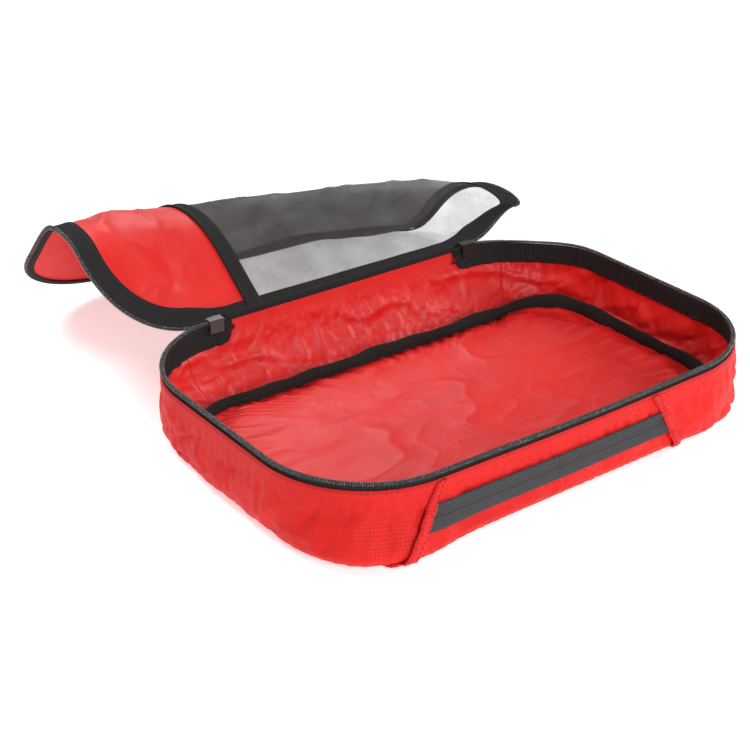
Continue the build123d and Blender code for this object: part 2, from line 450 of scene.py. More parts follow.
@dataclass(frozen=True)
class PaleFloor:
    """Plain studio floor."""

    def material(self) -> bpy.types.Material:
        """Make the finish."""
        shader = Shader("studio_floor")
        shader.set(Base_Color=(0.92, 0.92, 0.92), Roughness=0.9, Specular_IOR_Level=0.1)
        shader.set(Emission_Color=(1.0, 1.0, 1.0), Emission_Strength=0.5)
        return shader.material


class Finishes:
    """Every finish of the case, made once."""

    def __init__(self) -> None:
        """Make the materials."""
        self.outside = CoatedRipstop(Face.OUTSIDE).material()
        self.inside = CoatedRipstop(Face.INSIDE).material()
        self.tape = RibbedTape("zipper_tape_weave").material()
        self.binding = RibbedTape("binding_weave", rib=1.3 * MM, height=0.2 * MM).material()
        self.webbing = HerringboneWebbing().material()
        self.mesh = KnitMesh().material()
        self.coil = CoilNylon().material()
        self.red_thread = SewingThread("red_thread", (0.42, 0.010, 0.016)).material()
        self.black_thread = SewingThread("black_thread", (0.02, 0.02, 0.02)).material()
        self.slider_grey = WornEnamel("slider_grey", (0.085, 0.09, 0.093), rubbed=0.66).material()
        self.slider_black = WornEnamel("slider_black", (0.022, 0.022, 0.023), rubbed=0.7).material()
        self.floor = PaleFloor().material()


# ---------------------------------------------------------------- mesh helpers

def lerp(low: np.ndarray, high: np.ndarray, share: np.ndarray) -> np.ndarray:
    """Between two values by a share."""
    return low + (high - low) * share


def smooth(value: np.ndarray, low: float, high: float) -> np.ndarray:
    """Smooth rise from 0 at low to 1 at high."""
    share = np.clip((value - low) / (high - low), 0.0, 1.0)
    return share * share * (3.0 - 2.0 * share)


def through(values: np.ndarray, at: np.ndarray) -> np.ndarray:
    """A smooth curve through evenly spaced values.

    Args:
        values: The values, or points, one to a row.
        at: Where to read the curve, counted in rows.

    Returns:
        The curve's values there.
    """
    base = np.clip(np.floor(at).astype(int), 0, len(values) - 2)
    share = (at - base).reshape(at.shape + (1,) * (values.ndim - 1))
    before, here, there, after = (values[np.clip(base + step, 0, len(values) - 1)]
                                  for step in (-1, 0, 1, 2))
    return (here + 0.5 * share * (there - before + share * (
        2 * before - 5 * here + 4 * there - after + share * (3 * (here - there) + after - before))))


def hump(value: np.ndarray, middle: float, width: float) -> np.ndarray:
    """A rounded bump of height 1."""
    return np.exp(-((value - middle) / width) ** 2)


def unit(vectors: np.ndarray) -> np.ndarray:
    """Vectors brought to length 1."""
    return vectors / np.maximum(np.linalg.norm(vectors, axis=-1, keepdims=True), 1e-12)


def grid_normals(points: np.ndarray, closed: bool = False) -> np.ndarray:
    """Normals of a grid of points.

    Args:
        points: Rows by columns by three.
        closed: Whether the rows join end to end.

    Returns:
        A unit normal at each point, first direction crossed with the second.
    """
    if closed:
        along = np.roll(points, -1, axis=0) - np.roll(points, 1, axis=0)
    else:
        along = np.gradient(points, axis=0)
    across = np.gradient(points, axis=1)
    return unit(np.cross(along, across))


def cloth_noise(points: np.ndarray, scale: tuple, seed: float) -> np.ndarray:
    """Soft noise about 0 at points that are stretched first.

    Args:
        points: Points in metres, in any shape that ends in three.
        scale: Spots per metre along X, Y and Z.
        seed: Moves the pattern.

    Returns:
        Noise from about -1 to 1.
    """
    flat = points.reshape(-1, 3) * np.array(scale) + seed
    values = [noise.noise(Vector(point)) for point in flat]
    return np.array(values).reshape(points.shape[:-1])


def crumple(points: np.ndarray, seed: float, size: float = 22.0, sharp: float = 2.4) -> np.ndarray:
    """Thin creases on calm cloth, from 0 to about 1: the ridges of folded noise, drawn aside by softer noise.

    Args:
        points: Places in metres, which may be stretched to lengthen the creases.
        seed: Moves the pattern.
        size: Creases per metre.
        sharp: How thin the ridges are.

    Returns:
        The height of the creases.
    """
    bent = points + 0.016 * np.stack(
        [cloth_noise(points, (24, 24, 24), seed + 7 * axis) for axis in range(3)], axis=-1)
    coarse = np.clip(1 - np.abs(cloth_noise(bent, (size, size, size), seed)) * 2.0, 0, 1) ** sharp
    fine = np.clip(1 - np.abs(cloth_noise(bent, (size * 2.3,) * 3, seed + 31)) * 2.0, 0, 1) ** sharp
    patches = np.clip(cloth_noise(points, (size / 3,) * 3, seed + 57) + 0.55, 0, 1)
    return coarse * 0.7 + fine * 0.4 * patches


class MeshBuilder:
    """Turns arrays into Blender objects."""

    @staticmethod
    def make(name: str, points: np.ndarray, faces: list, weave: np.ndarray | None = None,
             face_slots: list | None = None, smooth_faces: bool = True) -> bpy.types.Object:
        """Make one object.

        Args:
            name: The object's name.
            points: Its vertices.
            faces: Its faces, as tuples of vertex numbers.
            weave: Lengths along and across the cloth at each vertex.
            face_slots: The material slot of each face.
            smooth_faces: Whether its faces shade smoothly.

        Returns:
            The object, linked to the scene.
        """
        mesh = bpy.data.meshes.new(name)
        mesh.from_pydata(np.asarray(points).reshape(-1, 3).tolist(), [], faces)
        if weave is not None:
            layer = mesh.attributes.new(WEAVE, "FLOAT_VECTOR", "POINT")
            filled = np.zeros((len(mesh.vertices), 3), np.float32)
            filled[:, :2] = np.asarray(weave).reshape(-1, 2)
            layer.data.foreach_set("vector", filled.ravel())
        if face_slots is not None:
            mesh.polygons.foreach_set("material_index", np.asarray(face_slots, np.int32))
        mesh.polygons.foreach_set("use_smooth", [smooth_faces] * len(mesh.polygons))
        mesh.update()
        piece = bpy.data.objects.new(name, mesh)
        bpy.context.scene.collection.objects.link(piece)
        return piece

    @staticmethod
    def grid_faces(rows: int, columns: int, closed: bool = False, start: int = 0) -> list:
        """Quads of a grid of points, numbered row by row."""
        last = rows if closed else rows - 1
        faces = []
        for row in range(last):
            after = (row + 1) % rows
            for column in range(columns - 1):
                here = start + row * columns + column
                there = start + after * columns + column
                faces.append((here, there, there + 1, here + 1))
        return faces

    @classmethod
    def sheet(cls, name: str, points: np.ndarray, weave: np.ndarray, thickness: float,
              materials: tuple, closed: bool = False) -> bpy.types.Object:
        """A closed thin solid from a grid: the grid is its middle.

        Args:
            name: The object's name.
            points: Rows by columns by three.
            weave: Rows by columns by two.
            thickness: Of the sheet.
            materials: The finish of the face that the normals leave, and of the other face.
            closed: Whether the rows join end to end.

        Returns:
            The object.
        """
        rows, columns = points.shape[:2]
        count = rows * columns
        shift = grid_normals(points, closed) * thickness / 2
        front = cls.grid_faces(rows, columns, closed)
        back = [tuple(reversed([corner + count for corner in face])) for face in front]
        rim = cls._rim(rows, columns, closed, count)
        slots = [0] * len(front) + [len(set(materials)) - 1] * len(back) + [0] * len(rim)
        piece = cls.make(name, np.concatenate([(points + shift).reshape(-1, 3),
                                               (points - shift).reshape(-1, 3)]),
                         front + back + rim, np.concatenate([weave.reshape(-1, 2)] * 2), slots)
        for material in dict.fromkeys(materials):
            piece.data.materials.append(material)
        return piece

    @staticmethod
    def _rim(rows: int, columns: int, closed: bool, count: int) -> list:
        """Faces that close a sheet's edges."""
        faces = []
        last = rows if closed else rows - 1
        for row in range(last):
            here, there = row * columns, ((row + 1) % rows) * columns
            faces.append((there, here, here + count, there + count))
            here, there = here + columns - 1, there + columns - 1
            faces.append((here, there, there + count, here + count))
        if not closed:
            for column in range(columns - 1):
                here, there = column, column + 1
                faces.append((here, there, there + count, here + count))
                here, there = (rows - 1) * columns + column, (rows - 1) * columns + column + 1
                faces.append((there, here, here + count, there + count))
        return faces

    @classmethod
    def tube(cls, name: str, path: np.ndarray, radius: float, material: bpy.types.Material,
             sides: int = 6, guide: np.ndarray | None = None) -> bpy.types.Object:
        """A capped tube along a path.

        Args:
            name: The object's name.
            path: Its points.
            radius: Of the tube.
            material: Its finish.
            sides: Of its section.
            guide: Directions that are not along the path, one at each point.

        Returns:
            The object.
        """
        tangent = unit(np.gradient(path, axis=0))
        if guide is None:
            guide = np.broadcast_to(np.array([0.137, 0.291, 0.947]), path.shape)
        first = unit(np.cross(tangent, guide))
        second = np.cross(tangent, first)
        turns = np.linspace(0, 2 * np.pi, sides, endpoint=False)
        ring = (np.cos(turns)[None, :, None] * first[:, None]
                + np.sin(turns)[None, :, None] * second[:, None])
        points = path[:, None] + ring * radius
        faces = []
        for row in range(len(path) - 1):
            for side in range(sides):
                here, there = row * sides + side, row * sides + (side + 1) % sides
                faces.append((here, here + sides, there + sides, there))
        faces.append(tuple(range(sides)))
        faces.append(tuple(reversed(range((len(path) - 1) * sides, len(path) * sides))))
        lengths = np.concatenate([[0], np.cumsum(np.linalg.norm(np.diff(path, axis=0), axis=1))])
        weave = np.stack(np.broadcast_arrays(lengths[:, None], turns[None] * radius), axis=-1)
        piece = cls.make(name, points, faces, weave)
        piece.data.materials.append(material)
        return piece

    @staticmethod
    def join(name: str, pieces: list) -> bpy.types.Object:
        """One object from several, keeping their faces, weave and finishes."""
        points, faces, weave, slots, materials = [], [], [], [], []
        start = 0
        for piece in pieces:
            mesh = piece.data
            own = [materials.index(m) if m in materials else materials.append(m) or len(materials) - 1
                   for m in mesh.materials]
            points += [tuple(vertex.co) for vertex in mesh.vertices]
            weave += [tuple(value.vector)[:2] for value in mesh.attributes[WEAVE].data]
            faces += [tuple(corner + start for corner in face.vertices) for face in mesh.polygons]
            slots += [own[face.material_index] for face in mesh.polygons]
            start += len(mesh.vertices)
            bpy.data.objects.remove(piece)
        joined = MeshBuilder.make(name, np.array(points), faces, np.array(weave), slots)
        for material in materials:
            joined.data.materials.append(material)
        return joined


@dataclass(frozen=True)
class Stitching:
    """A row of stitches laid on cloth."""

    length: float = 2.6 * MM
    gap: float = 0.8 * MM
    radius: float = 0.26 * MM
    sink: float = 0.12 * MM
    sides: int = 6

    def capsule(self) -> tuple[np.ndarray, list]:
        """One stitch along X: rings that narrow and dip at both ends."""
        stations = np.array([-0.5, -0.42, -0.2, 0.2, 0.42, 0.5])
        widths = np.array([0.35, 0.85, 1.0, 1.0, 0.85, 0.35])
        dips = np.array([-1.0, -0.25, 0.0, 0.0, -0.25, -1.0])
        turns = np.linspace(0, 2 * np.pi, self.sides, endpoint=False)
        rings = [[(at * self.length, math.cos(turn) * wide * self.radius,
                   math.sin(turn) * wide * self.radius + dip * self.radius) for turn in turns]
                 for at, wide, dip in zip(stations, widths, dips)]
        faces = []
        for row in range(len(stations) - 1):
            for side in range(self.sides):
                here, there = row * self.sides + side, row * self.sides + (side + 1) % self.sides
                faces.append((here, there, there + self.sides, here + self.sides))
        faces.append(tuple(reversed(range(self.sides))))
        faces.append(tuple(range((len(stations) - 1) * self.sides, len(stations) * self.sides)))
        return np.array(rings).reshape(-1, 3), faces

    def along(self, name: str, path: np.ndarray, normals: np.ndarray,
              material: bpy.types.Material) -> bpy.types.Object:
        """Stitches along a path.

        Args:
            name: The object's name.
            path: Points on the cloth.
            normals: The cloth's normals there.
            material: The thread's finish.

        Returns:
            The object.
        """
        lengths = np.concatenate([[0], np.cumsum(np.linalg.norm(np.diff(path, axis=0), axis=1))])
        centres = np.arange(self.length / 2, lengths[-1] - self.length / 2, self.length + self.gap)
        tangent = unit(np.gradient(path, axis=0))
        stitch, stitch_faces = self.capsule()
        points, faces, weave = [], [], []
        for centre in centres:
            here, out, forward = (np.array([np.interp(centre, lengths, values[:, axis]) for axis in range(3)])
                                  for values in (path, normals, tangent))
            forward = unit(forward)
            side = unit(np.cross(out, forward))
            out = np.cross(forward, side)
            place = here + out * (self.radius - self.sink)
            start = len(points) * len(stitch)
            points.append(place + stitch @ np.stack([forward, side, out]))
            faces += [tuple(corner + start for corner in face) for face in stitch_faces]
            weave.append(stitch[:, :2])
        piece = MeshBuilder.make(name, np.concatenate(points), faces, np.concatenate(weave))
        piece.data.materials.append(material)
        return piece


@dataclass(frozen=True)
class CoilMaker:
    """A zipper coil: one nylon strand wound along the tape's edge."""

    pitch: float = 1.45 * MM
    reach: float = 1.35 * MM
    height: float = 1.05 * MM
    strand: float = 0.42 * MM
    steps: int = 8

    def wind(self, name: str, path: np.ndarray, out: np.ndarray, up: np.ndarray,
             material: bpy.types.Material) -> bpy.types.Object:
        """Wind the coil round a path.

        Args:
            name: The object's name.
            path: The coil's middle line.
            out: Directions across the tape's thickness.
            up: Directions along the tape's width.
            material: The nylon's finish.

        Returns:
            The object.
        """
        lengths = np.concatenate([[0], np.cumsum(np.linalg.norm(np.diff(path, axis=0), axis=1))])
        turns = int(lengths[-1] / self.pitch)
        at = np.linspace(0, lengths[-1], turns * self.steps + 1)
        spread = [np.stack([np.interp(at, lengths, values[:, axis]) for axis in range(3)], axis=1)
                  for values in (path, out, up)]
        centre, across, along = spread
        angle = at / lengths[-1] * turns * 2 * np.pi
        strand = centre + across * (np.cos(angle) * self.reach)[:, None]
        strand = strand + along * (np.sin(angle) * self.height)[:, None]
        return MeshBuilder.tube(name, strand, self.strand, material, 5, guide=strand - centre)


@dataclass(frozen=True)
class ClothSettle:
    """A short cloth simulation in which cut cloth, a little too large for its frame, buckles into folds."""

    growth: float = 0.03
    frames: int = 16
    cap: float = 6 * MM
    gravity: float = 0.15
    bending: float = 0.25

    def run(self, points: np.ndarray, faces: list, pins: np.ndarray) -> np.ndarray:
        """Settle a sheet.

        Args:
            points: Its vertices.
            faces: Its faces.
            pins: 1 where a vertex is held and 0 where it is free.

        Returns:
            The settled vertices.
        """
        sheet = MeshBuilder.make("settling_cloth", points, faces)
        held = sheet.vertex_groups.new(name="held")
        for number, weight in enumerate(pins.tolist()):
            held.add([number], weight, "REPLACE")
        cloth = sheet.modifiers.new("cloth", "CLOTH")
        settings = cloth.settings
        settings.quality = 6
        settings.mass = 0.12
        settings.tension_stiffness = 14.0
        settings.compression_stiffness = 14.0
        settings.shear_stiffness = 6.0
        settings.bending_stiffness = self.bending
        settings.air_damping = 2.0
        settings.vertex_group_mass = "held"
        settings.pin_stiffness = 1.0
        settings.shrink_min = -self.growth
        settings.effector_weights.gravity = self.gravity
        cloth.collision_settings.use_collision = False
        scene = bpy.context.scene
        for frame in range(1, self.frames + 1):
            scene.frame_set(frame)
        ready = sheet.evaluated_get(bpy.context.evaluated_depsgraph_get())
        settled = np.zeros(len(points) * 3)
        ready.data.vertices.foreach_get("co", settled)
        scene.frame_set(1)
        bpy.data.objects.remove(sheet)
        moved = settled.reshape(-1, 3) - points
        size = np.linalg.norm(moved, axis=1, keepdims=True)
        return points + moved * np.minimum(1.0, self.cap / np.maximum(size, 1e-9))


# ---------------------------------------------------------------- shapes

@dataclass(frozen=True)
class Outline:
    """Rounded rectangle of the rim and of the lid's edge, counter-clockwise from the middle of the back."""

    half_width: float = 180 * MM
    half_depth: float = 121 * MM
    radius: float = 72 * MM

    @cached_property
    def knots(self) -> np.ndarray:
        """Distances along the outline where its straights and corners meet."""
        across, deep = self.half_width - self.radius, self.half_depth - self.radius
        corner = math.pi * self.radius / 2
        return np.cumsum([0, across, corner, 2 * deep, corner, 2 * across, corner, 2 * deep, corner, across])

    @property
    def length(self) -> float:
        """Whole length."""
        return float(self.knots[-1])

    def at(self, distance: np.ndarray, inset: np.ndarray | float = 0.0) -> tuple[np.ndarray, np.ndarray]:
        """Points and outward directions.

        Args:
            distance: Distances along the outline.
            inset: How far inside it the points lie.

        Returns:
            Points and unit outward directions, both in X and Y.
        """
        across, deep = self.half_width - self.radius, self.half_depth - self.radius
        where = np.mod(distance, self.length)
        angle = np.interp(where, self.knots, np.radians([90, 90, 180, 180, 270, 270, 360, 360, 450, 450]))
        centre = [np.interp(where, self.knots, np.array(signs) * size) for signs, size in
                  (([0, -1, -1, -1, -1, 1, 1, 1, 1, 0], across), ([1, 1, 1, -1, -1, -1, -1, 1, 1, 1], deep))]
        outward = np.stack([np.cos(angle), np.sin(angle)], axis=-1)
        reach = np.asarray(self.radius - inset)[..., None]
        return np.stack(centre, axis=-1) + outward * reach, outward

    def front(self, x: float) -> float:
        """Distance of the place on the front at x."""
        return float(self.knots[4]) + self.half_width - self.radius + x

    def back(self, x: float) -> float:
        """Distance of the place on the back at x: up from 0 to the left, down from the end to the right."""
        return -x if x <= 0 else self.length - x


class Field:
    """A dense grid of points that is read at any place between its rows and columns."""

    def __init__(self, points: np.ndarray, closed: bool = False) -> None:
        """Keep a grid.

        Args:
            points: Rows by columns by three.
            closed: Whether the rows join end to end.
        """
        self.points = points
        self.closed = closed
        self.normals = grid_normals(points, closed)

    @classmethod
    def finer(cls, points: np.ndarray, rows: int, columns: int, closed: bool = False) -> "Field":
        """A smooth finer grid through a coarse one."""
        dense = cls._spread(points, rows, closed)
        dense = cls._spread(dense.swapaxes(0, 1), columns, False).swapaxes(0, 1)
        return cls(dense, closed)

    @staticmethod
    def _spread(points: np.ndarray, count: int, closed: bool) -> np.ndarray:
        """Smooth curve values between rows."""
        rows = len(points)
        at = np.arange(count) * rows / count if closed else np.linspace(0, rows - 1, count)
        base = np.floor(at).astype(int)
        share = (at - base)[:, None, None]

        def row(number: np.ndarray) -> np.ndarray:
            """Rows by number, kept in range."""
            return points[number % rows] if closed else points[np.clip(number, 0, rows - 1)]

        before, here, there, after = (row(base + step) for step in (-1, 0, 1, 2))
        return (here + 0.5 * share * (there - before + share * (
            2 * before - 5 * here + 4 * there - after + share * (3 * (here - there) + after - before))))

    def at(self, row: np.ndarray, column: np.ndarray, lift: np.ndarray | float = 0.0) -> np.ndarray:
        """Points on the surface.

        Args:
            row: Shares from 0 to 1 along the rows.
            column: Shares from 0 to 1 along the columns.
            lift: Distance off the surface, along its normals.

        Returns:
            The points.
        """
        return self._read(self.points, row, column) + self.normal(row, column) * np.asarray(lift)[..., None]

    def normal(self, row: np.ndarray, column: np.ndarray) -> np.ndarray:
        """Unit normals of the surface."""
        return unit(self._read(self.normals, row, column))

    def _read(self, values: np.ndarray, row: np.ndarray, column: np.ndarray) -> np.ndarray:
        """Values between four neighbours."""
        row, column = np.broadcast_arrays(row, column)
        rows, columns = values.shape[:2]
        down = np.mod(row, 1.0) * rows if self.closed else np.clip(row, 0, 1) * (rows - 1)
        over = np.clip(column, 0, 1) * (columns - 1)
        top, left = np.floor(down).astype(int), np.minimum(np.floor(over).astype(int), columns - 2)
        if self.closed:
            top, low = top % rows, (top + 1) % rows
        else:
            top = np.minimum(top, rows - 2)
            low = top + 1
        down = (down - np.floor(down) if self.closed else down - top)[..., None]
        over = (over - left)[..., None]
        return ((values[top, left] * (1 - over) + values[top, left + 1] * over) * (1 - down)
                + (values[low, left] * (1 - over) + values[low, left + 1] * over) * down)


@dataclass
class CaseShape:
    """The cloth wall of the case, from the zipper down, under the case and up to its floor seam."""

    outline: Outline = field(default_factory=Outline)
    front: tuple = ((0, 49), (1.5, 42), (3, 34), (4, 25), (5, 15), (4.5, 7), (1.5, 2.2),
                    (-5, 1.0), (-13, 1.8))
    left: tuple = ((0, 49.5), (1, 42), (2, 34), (3, 25), (3, 15), (1.5, 7), (-2, 1.9), (-8, 1.0), (-15, 1.8))
    back: tuple = ((0, 50), (-2, 42), (-5, 34), (-9.5, 25), (-15.5, 15), (-21, 7.5), (-26, 2.4),
                   (-30, 1.2), (-35, 1.8))
    right: tuple = ((0, 49.5), (0.5, 42), (0.8, 34), (0.5, 25), (-0.5, 15), (-1.5, 7), (-3, 1.9),
                    (-5.5, 1.2), (-9, 1.8))
    drop: float = 76 * MM
    front_dip: float = 2.2 * MM
    corner_dip: float = 2.5 * MM
    corner_bulge: float = 9 * MM
    rows: int = 360
    columns: int = 26

    def base(self, distance: np.ndarray, share: np.ndarray) -> np.ndarray:
        """Points of the smooth wall.

        Args:
            distance: Distances along the rim.
            share: From 0 at the zipper to 1 at the floor seam.

        Returns:
            The points.
        """
        place, outward = self.outline.at(distance)
        sides = ((self.front, (0, -1)), (self.left, (-1, 0)), (self.back, (0, 1)), (self.right, (1, 0)))
        column = np.clip(share, 0, 1) * (len(self.front) - 1)
        total = np.zeros(np.broadcast(distance, share).shape + (2,))
        for profile, (x, y) in sides:
            weight = np.maximum(outward[..., 0] * x + outward[..., 1] * y, 0) ** 2
            total = total + weight[..., None] * through(np.array(profile) * MM, column)
        height = total[..., 1] - self._dip(place) * (1 - np.clip(share * 1.6, 0, 1))
        corner = hump(np.mod(distance, self.outline.length), self.outline.knots[3] + 72 * MM, 42 * MM)
        low = smooth(share, 0.3, 0.62) * (1 - smooth(share, 0.78, 1.0))
        points = place + outward * (total[..., :1] + (self.corner_bulge * corner * low)[..., None])
        return np.concatenate([points, height[..., None]], axis=-1)

    def _dip(self, place: np.ndarray) -> np.ndarray:
        """How far the rim hangs under its full height."""
        across, deep = place[..., 0], place[..., 1]
        front = hump(across, 10 * MM, 90 * MM) * smooth(-deep, 60 * MM, 118 * MM)
        corner = hump(across, 158 * MM, 30 * MM) * smooth(deep, 60 * MM, 100 * MM)
        return self.front_dip * front + self.corner_dip * corner

    @cached_property
    def cloth(self) -> Field:
        """The wall with its folds."""
        distance = np.arange(self.rows)[:, None] * self.outline.length / self.rows
        share = np.linspace(0, 1, self.columns)[None]
        points = self.base(distance, share)
        count = self.rows * self.columns
        pins = np.zeros((self.rows, self.columns))
        pins[:, :7] = [1, 1, 1, 1, 0.9, 0.6, 0.2]
        pins[:, 17:21] = 0.7
        pins[:, -1] = 1
        settle = ClothSettle(growth=0.022, cap=3.5 * MM)
        settled = settle.run(points.reshape(-1, 3), MeshBuilder.grid_faces(self.rows, self.columns, True),
                             pins.ravel()).reshape(points.shape)
        LOG.info("case wall: %d points settled", count)
        settled[..., 2] = np.maximum(settled[..., 2], 0.9 * MM)
        fine = Field.finer(settled, self.rows * 2, self.columns * 2, True)
        folded = fine.points + fine.normals * self._wrinkles(fine.points)[..., None]
        folded[..., 2] = np.maximum(folded[..., 2], 1.4 * MM)
        return Field(folded, True)

    def _wrinkles(self, points: np.ndarray) -> np.ndarray:
        """Small folds: upright puckers along both seams and soft creases between them."""
        rows, columns = points.shape[:2]
        distance = np.arange(rows)[:, None] * self.outline.length / rows
        share = np.linspace(0, 1, columns)[None]
        ring = np.stack([np.cos(distance / self.outline.length * 2 * np.pi) * 0.16 + 0 * share,
                         np.sin(distance / self.outline.length * 2 * np.pi) * 0.16 + 0 * share,
                         share * self.drop * 0.35 + 0 * distance], axis=-1)
        pucker = cloth_noise(ring, (150, 150, 22), 3.7) * 1.7 * MM
        low = smooth(share, 0.86, 0.97)
        high = hump(share, 0.2, 0.08) * 0.35
        long = points @ np.array([(0.75, 0.0, 0.55), (0.0, 0.75, 0.55), (-0.5, 0.3, 1.1)])
        crease = (crumple(long, 11.3, 26.0) - 0.3) * 3.6 * MM * smooth(share, 0.16, 0.36)
        along = np.abs(distance - self.outline.front(-22 * MM))
        held = (1 - smooth(along, 95 * MM, 120 * MM)) * smooth(share, 0.18, 0.26)
        return (pucker * (low + high) + crease * (1 - 0.85 * smooth(share, 0.62, 0.8))) * (1 - 0.85 * held)

    def at(self, distance: np.ndarray, share: np.ndarray, lift: np.ndarray | float = 0.0) -> np.ndarray:
        """Points on the folded wall, lifted outwards."""
        return self.cloth.at(distance / self.outline.length, share, -np.asarray(lift))

    def out(self, distance: np.ndarray, share: np.ndarray) -> np.ndarray:
        """Outward normals of the folded wall."""
        return -self.cloth.normal(distance / self.outline.length, share)


@dataclass
class LidShape:
    """The open lid: it rises from the hinge, folds over and comes down behind the case."""

    outline: Outline = field(default_factory=Outline)
    hinge_y: float = 121 * MM
    hinge_z: float = 52 * MM
    under: float = 3.3 * MM
    # The rows, droops and shifts below follow the results of least-squares fits run outside
    # this script, adjusted by hand. Nothing here works them out.
    rise: tuple = (43, 35, 29, 26, 27)
    fall: tuple = (43, 54, 62, 63, 54)
    fold_start: tuple = (66, 44, 40, 24, 8)
    fold_end: tuple = (132, 184, 190, 194, 197)
    left_droop: float = 3 * MM
    left_shift: float = 14 * MM
    right_droop: float = 9 * MM
    right_shift: float = 34 * MM
    lowest: float = 6.5 * MM
    highest: float = 110.5 * MM
    softness: float = 3 * MM
    stations: int = 121
    samples: int = 243

    @staticmethod
    def _across(values: tuple, across: np.ndarray) -> np.ndarray:
        """A smooth curve through five values, from the lid's left edge at -1 to its right edge at 1."""
        return through(np.array(values, float), (across + 1) / 2 * (len(values) - 1))

    def _angles(self, across: np.ndarray, along: np.ndarray) -> np.ndarray:
        """Slope of the lid, which turns from rising to falling through one wide fold."""
        rise, fall = self._across(self.rise, across), self._across(self.fall, across)
        start, end = self._across(self.fold_start, across) * MM, self._across(self.fold_end, across) * MM
        return np.radians(rise - (rise + fall) * smooth(along, start, end))

    @cached_property
    def table(self) -> np.ndarray:
        """Points of the smooth lid by station across and distance from the hinge."""
        across = np.linspace(-1, 1, self.stations)[:, None]
        along = np.linspace(0, 2 * self.outline.half_depth, self.samples)[None]
        slope = self._angles(across, along)
        step = along[0, 1]
        middle = (slope[:, 1:] + slope[:, :-1]) / 2
        none = np.zeros((self.stations, 1))
        deep = np.concatenate([none, np.cumsum(np.cos(middle) * step, axis=1)], axis=1)
        high = np.concatenate([none, np.cumsum(np.sin(middle) * step, axis=1)], axis=1)
        wide = across * self.outline.half_width + 0 * along
        corner = smooth(-wide, 80 * MM, 180 * MM) * hump(along, 25 * MM, 55 * MM)
        end = smooth(along, 5 * MM, 60 * MM)
        deep = (self.hinge_y + deep - self.left_shift * corner
                - self.right_shift * smooth(wide, 64 * MM, 180 * MM) * end)
        high = self.hinge_z + high - self.left_droop * corner
        high = high - self.right_droop * smooth(wide, 132 * MM, 188 * MM) * end
        low, soft = self.lowest, self.softness
        high = low + np.log1p(np.exp((high - low) / soft)) * soft
        high = self.highest - np.log1p(np.exp((self.highest - high) / soft)) * soft
        return np.stack([wide, deep, high], axis=-1)

    @cached_property
    def smooth_field(self) -> Field:
        """The smooth lid as a field; its normals face the case's inside."""
        return Field(self.table)

    def at(self, flat: np.ndarray, lift: np.ndarray | float = 0.0) -> np.ndarray:
        """Points on the open lid.

        Args:
            flat: Places on the flat lid: X, and distance from the hinge.
            lift: Distance off the cloth towards the lid's inner side.

        Returns:
            The points.
        """
        row = flat[..., 0] / (2 * self.outline.half_width) + 0.5
        column = flat[..., 1] / (2 * self.outline.half_depth)
        wave = self._wave(flat)
        return self.smooth_field.at(row, column, np.asarray(lift) - self.under + wave)

    def normal(self, flat: np.ndarray) -> np.ndarray:
        """Normals of the open lid, to its inner side."""
        row = flat[..., 0] / (2 * self.outline.half_width) + 0.5
        return self.smooth_field.normal(row, flat[..., 1] / (2 * self.outline.half_depth))

    @staticmethod
    def _wave(flat: np.ndarray) -> np.ndarray:
        """Broad uneven waves, none at the hinge."""
        points = np.concatenate([flat, np.zeros(flat.shape[:-1] + (1,))], axis=-1)
        return cloth_noise(points, (13, 11, 1), 5.2) * 4.0 * MM * smooth(flat[..., 1], 10 * MM, 80 * MM)

    def edge(self, distance: np.ndarray, inset: np.ndarray | float) -> np.ndarray:
        """Flat places inside the lid's outline."""
        place, _ = self.outline.at(distance, inset)
        return np.stack([place[..., 0], self.outline.half_depth - place[..., 1]], axis=-1)

    def span(self, x: np.ndarray, inset: float) -> tuple[np.ndarray, np.ndarray]:
        """Where the lid's outline, less an inset, begins and ends at x."""
        radius = self.outline.radius - inset
        past = np.clip(np.abs(x) - (self.outline.half_width - self.outline.radius), 0, radius)
        reach = self.outline.half_depth - self.outline.radius + np.sqrt(radius ** 2 - past ** 2)
        return self.outline.half_depth - reach, self.outline.half_depth + reach


# ---------------------------------------------------------------- sub-assemblies

@dataclass
class Workshop:
    """What every sub-assembly needs."""

    finishes: Finishes
    case: CaseShape = field(default_factory=CaseShape)
    lid: LidShape = field(default_factory=LidShape)

    @staticmethod
    def fit(piece: bpy.types.Object, body: str, slot: str, *nodes: str) -> bpy.types.Object:
        """Hang a piece on a body and hide the frame's parts that it replaces."""
        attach(piece, body)
        if nodes:
            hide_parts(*nodes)
        LOG.info("%s rides %s", piece.name, body)
        return piece

    @staticmethod
    def bend(piece: bpy.types.Object, bodies: tuple, span: tuple, slot: str, *nodes: str) -> bpy.types.Object:
        """Bake a piece's transform into its vertices and hide the frame's parts that it replaces."""
        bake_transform(piece)
        if nodes:
            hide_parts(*nodes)
        LOG.info("%s bends from %s to %s", piece.name, *bodies)
        return piece


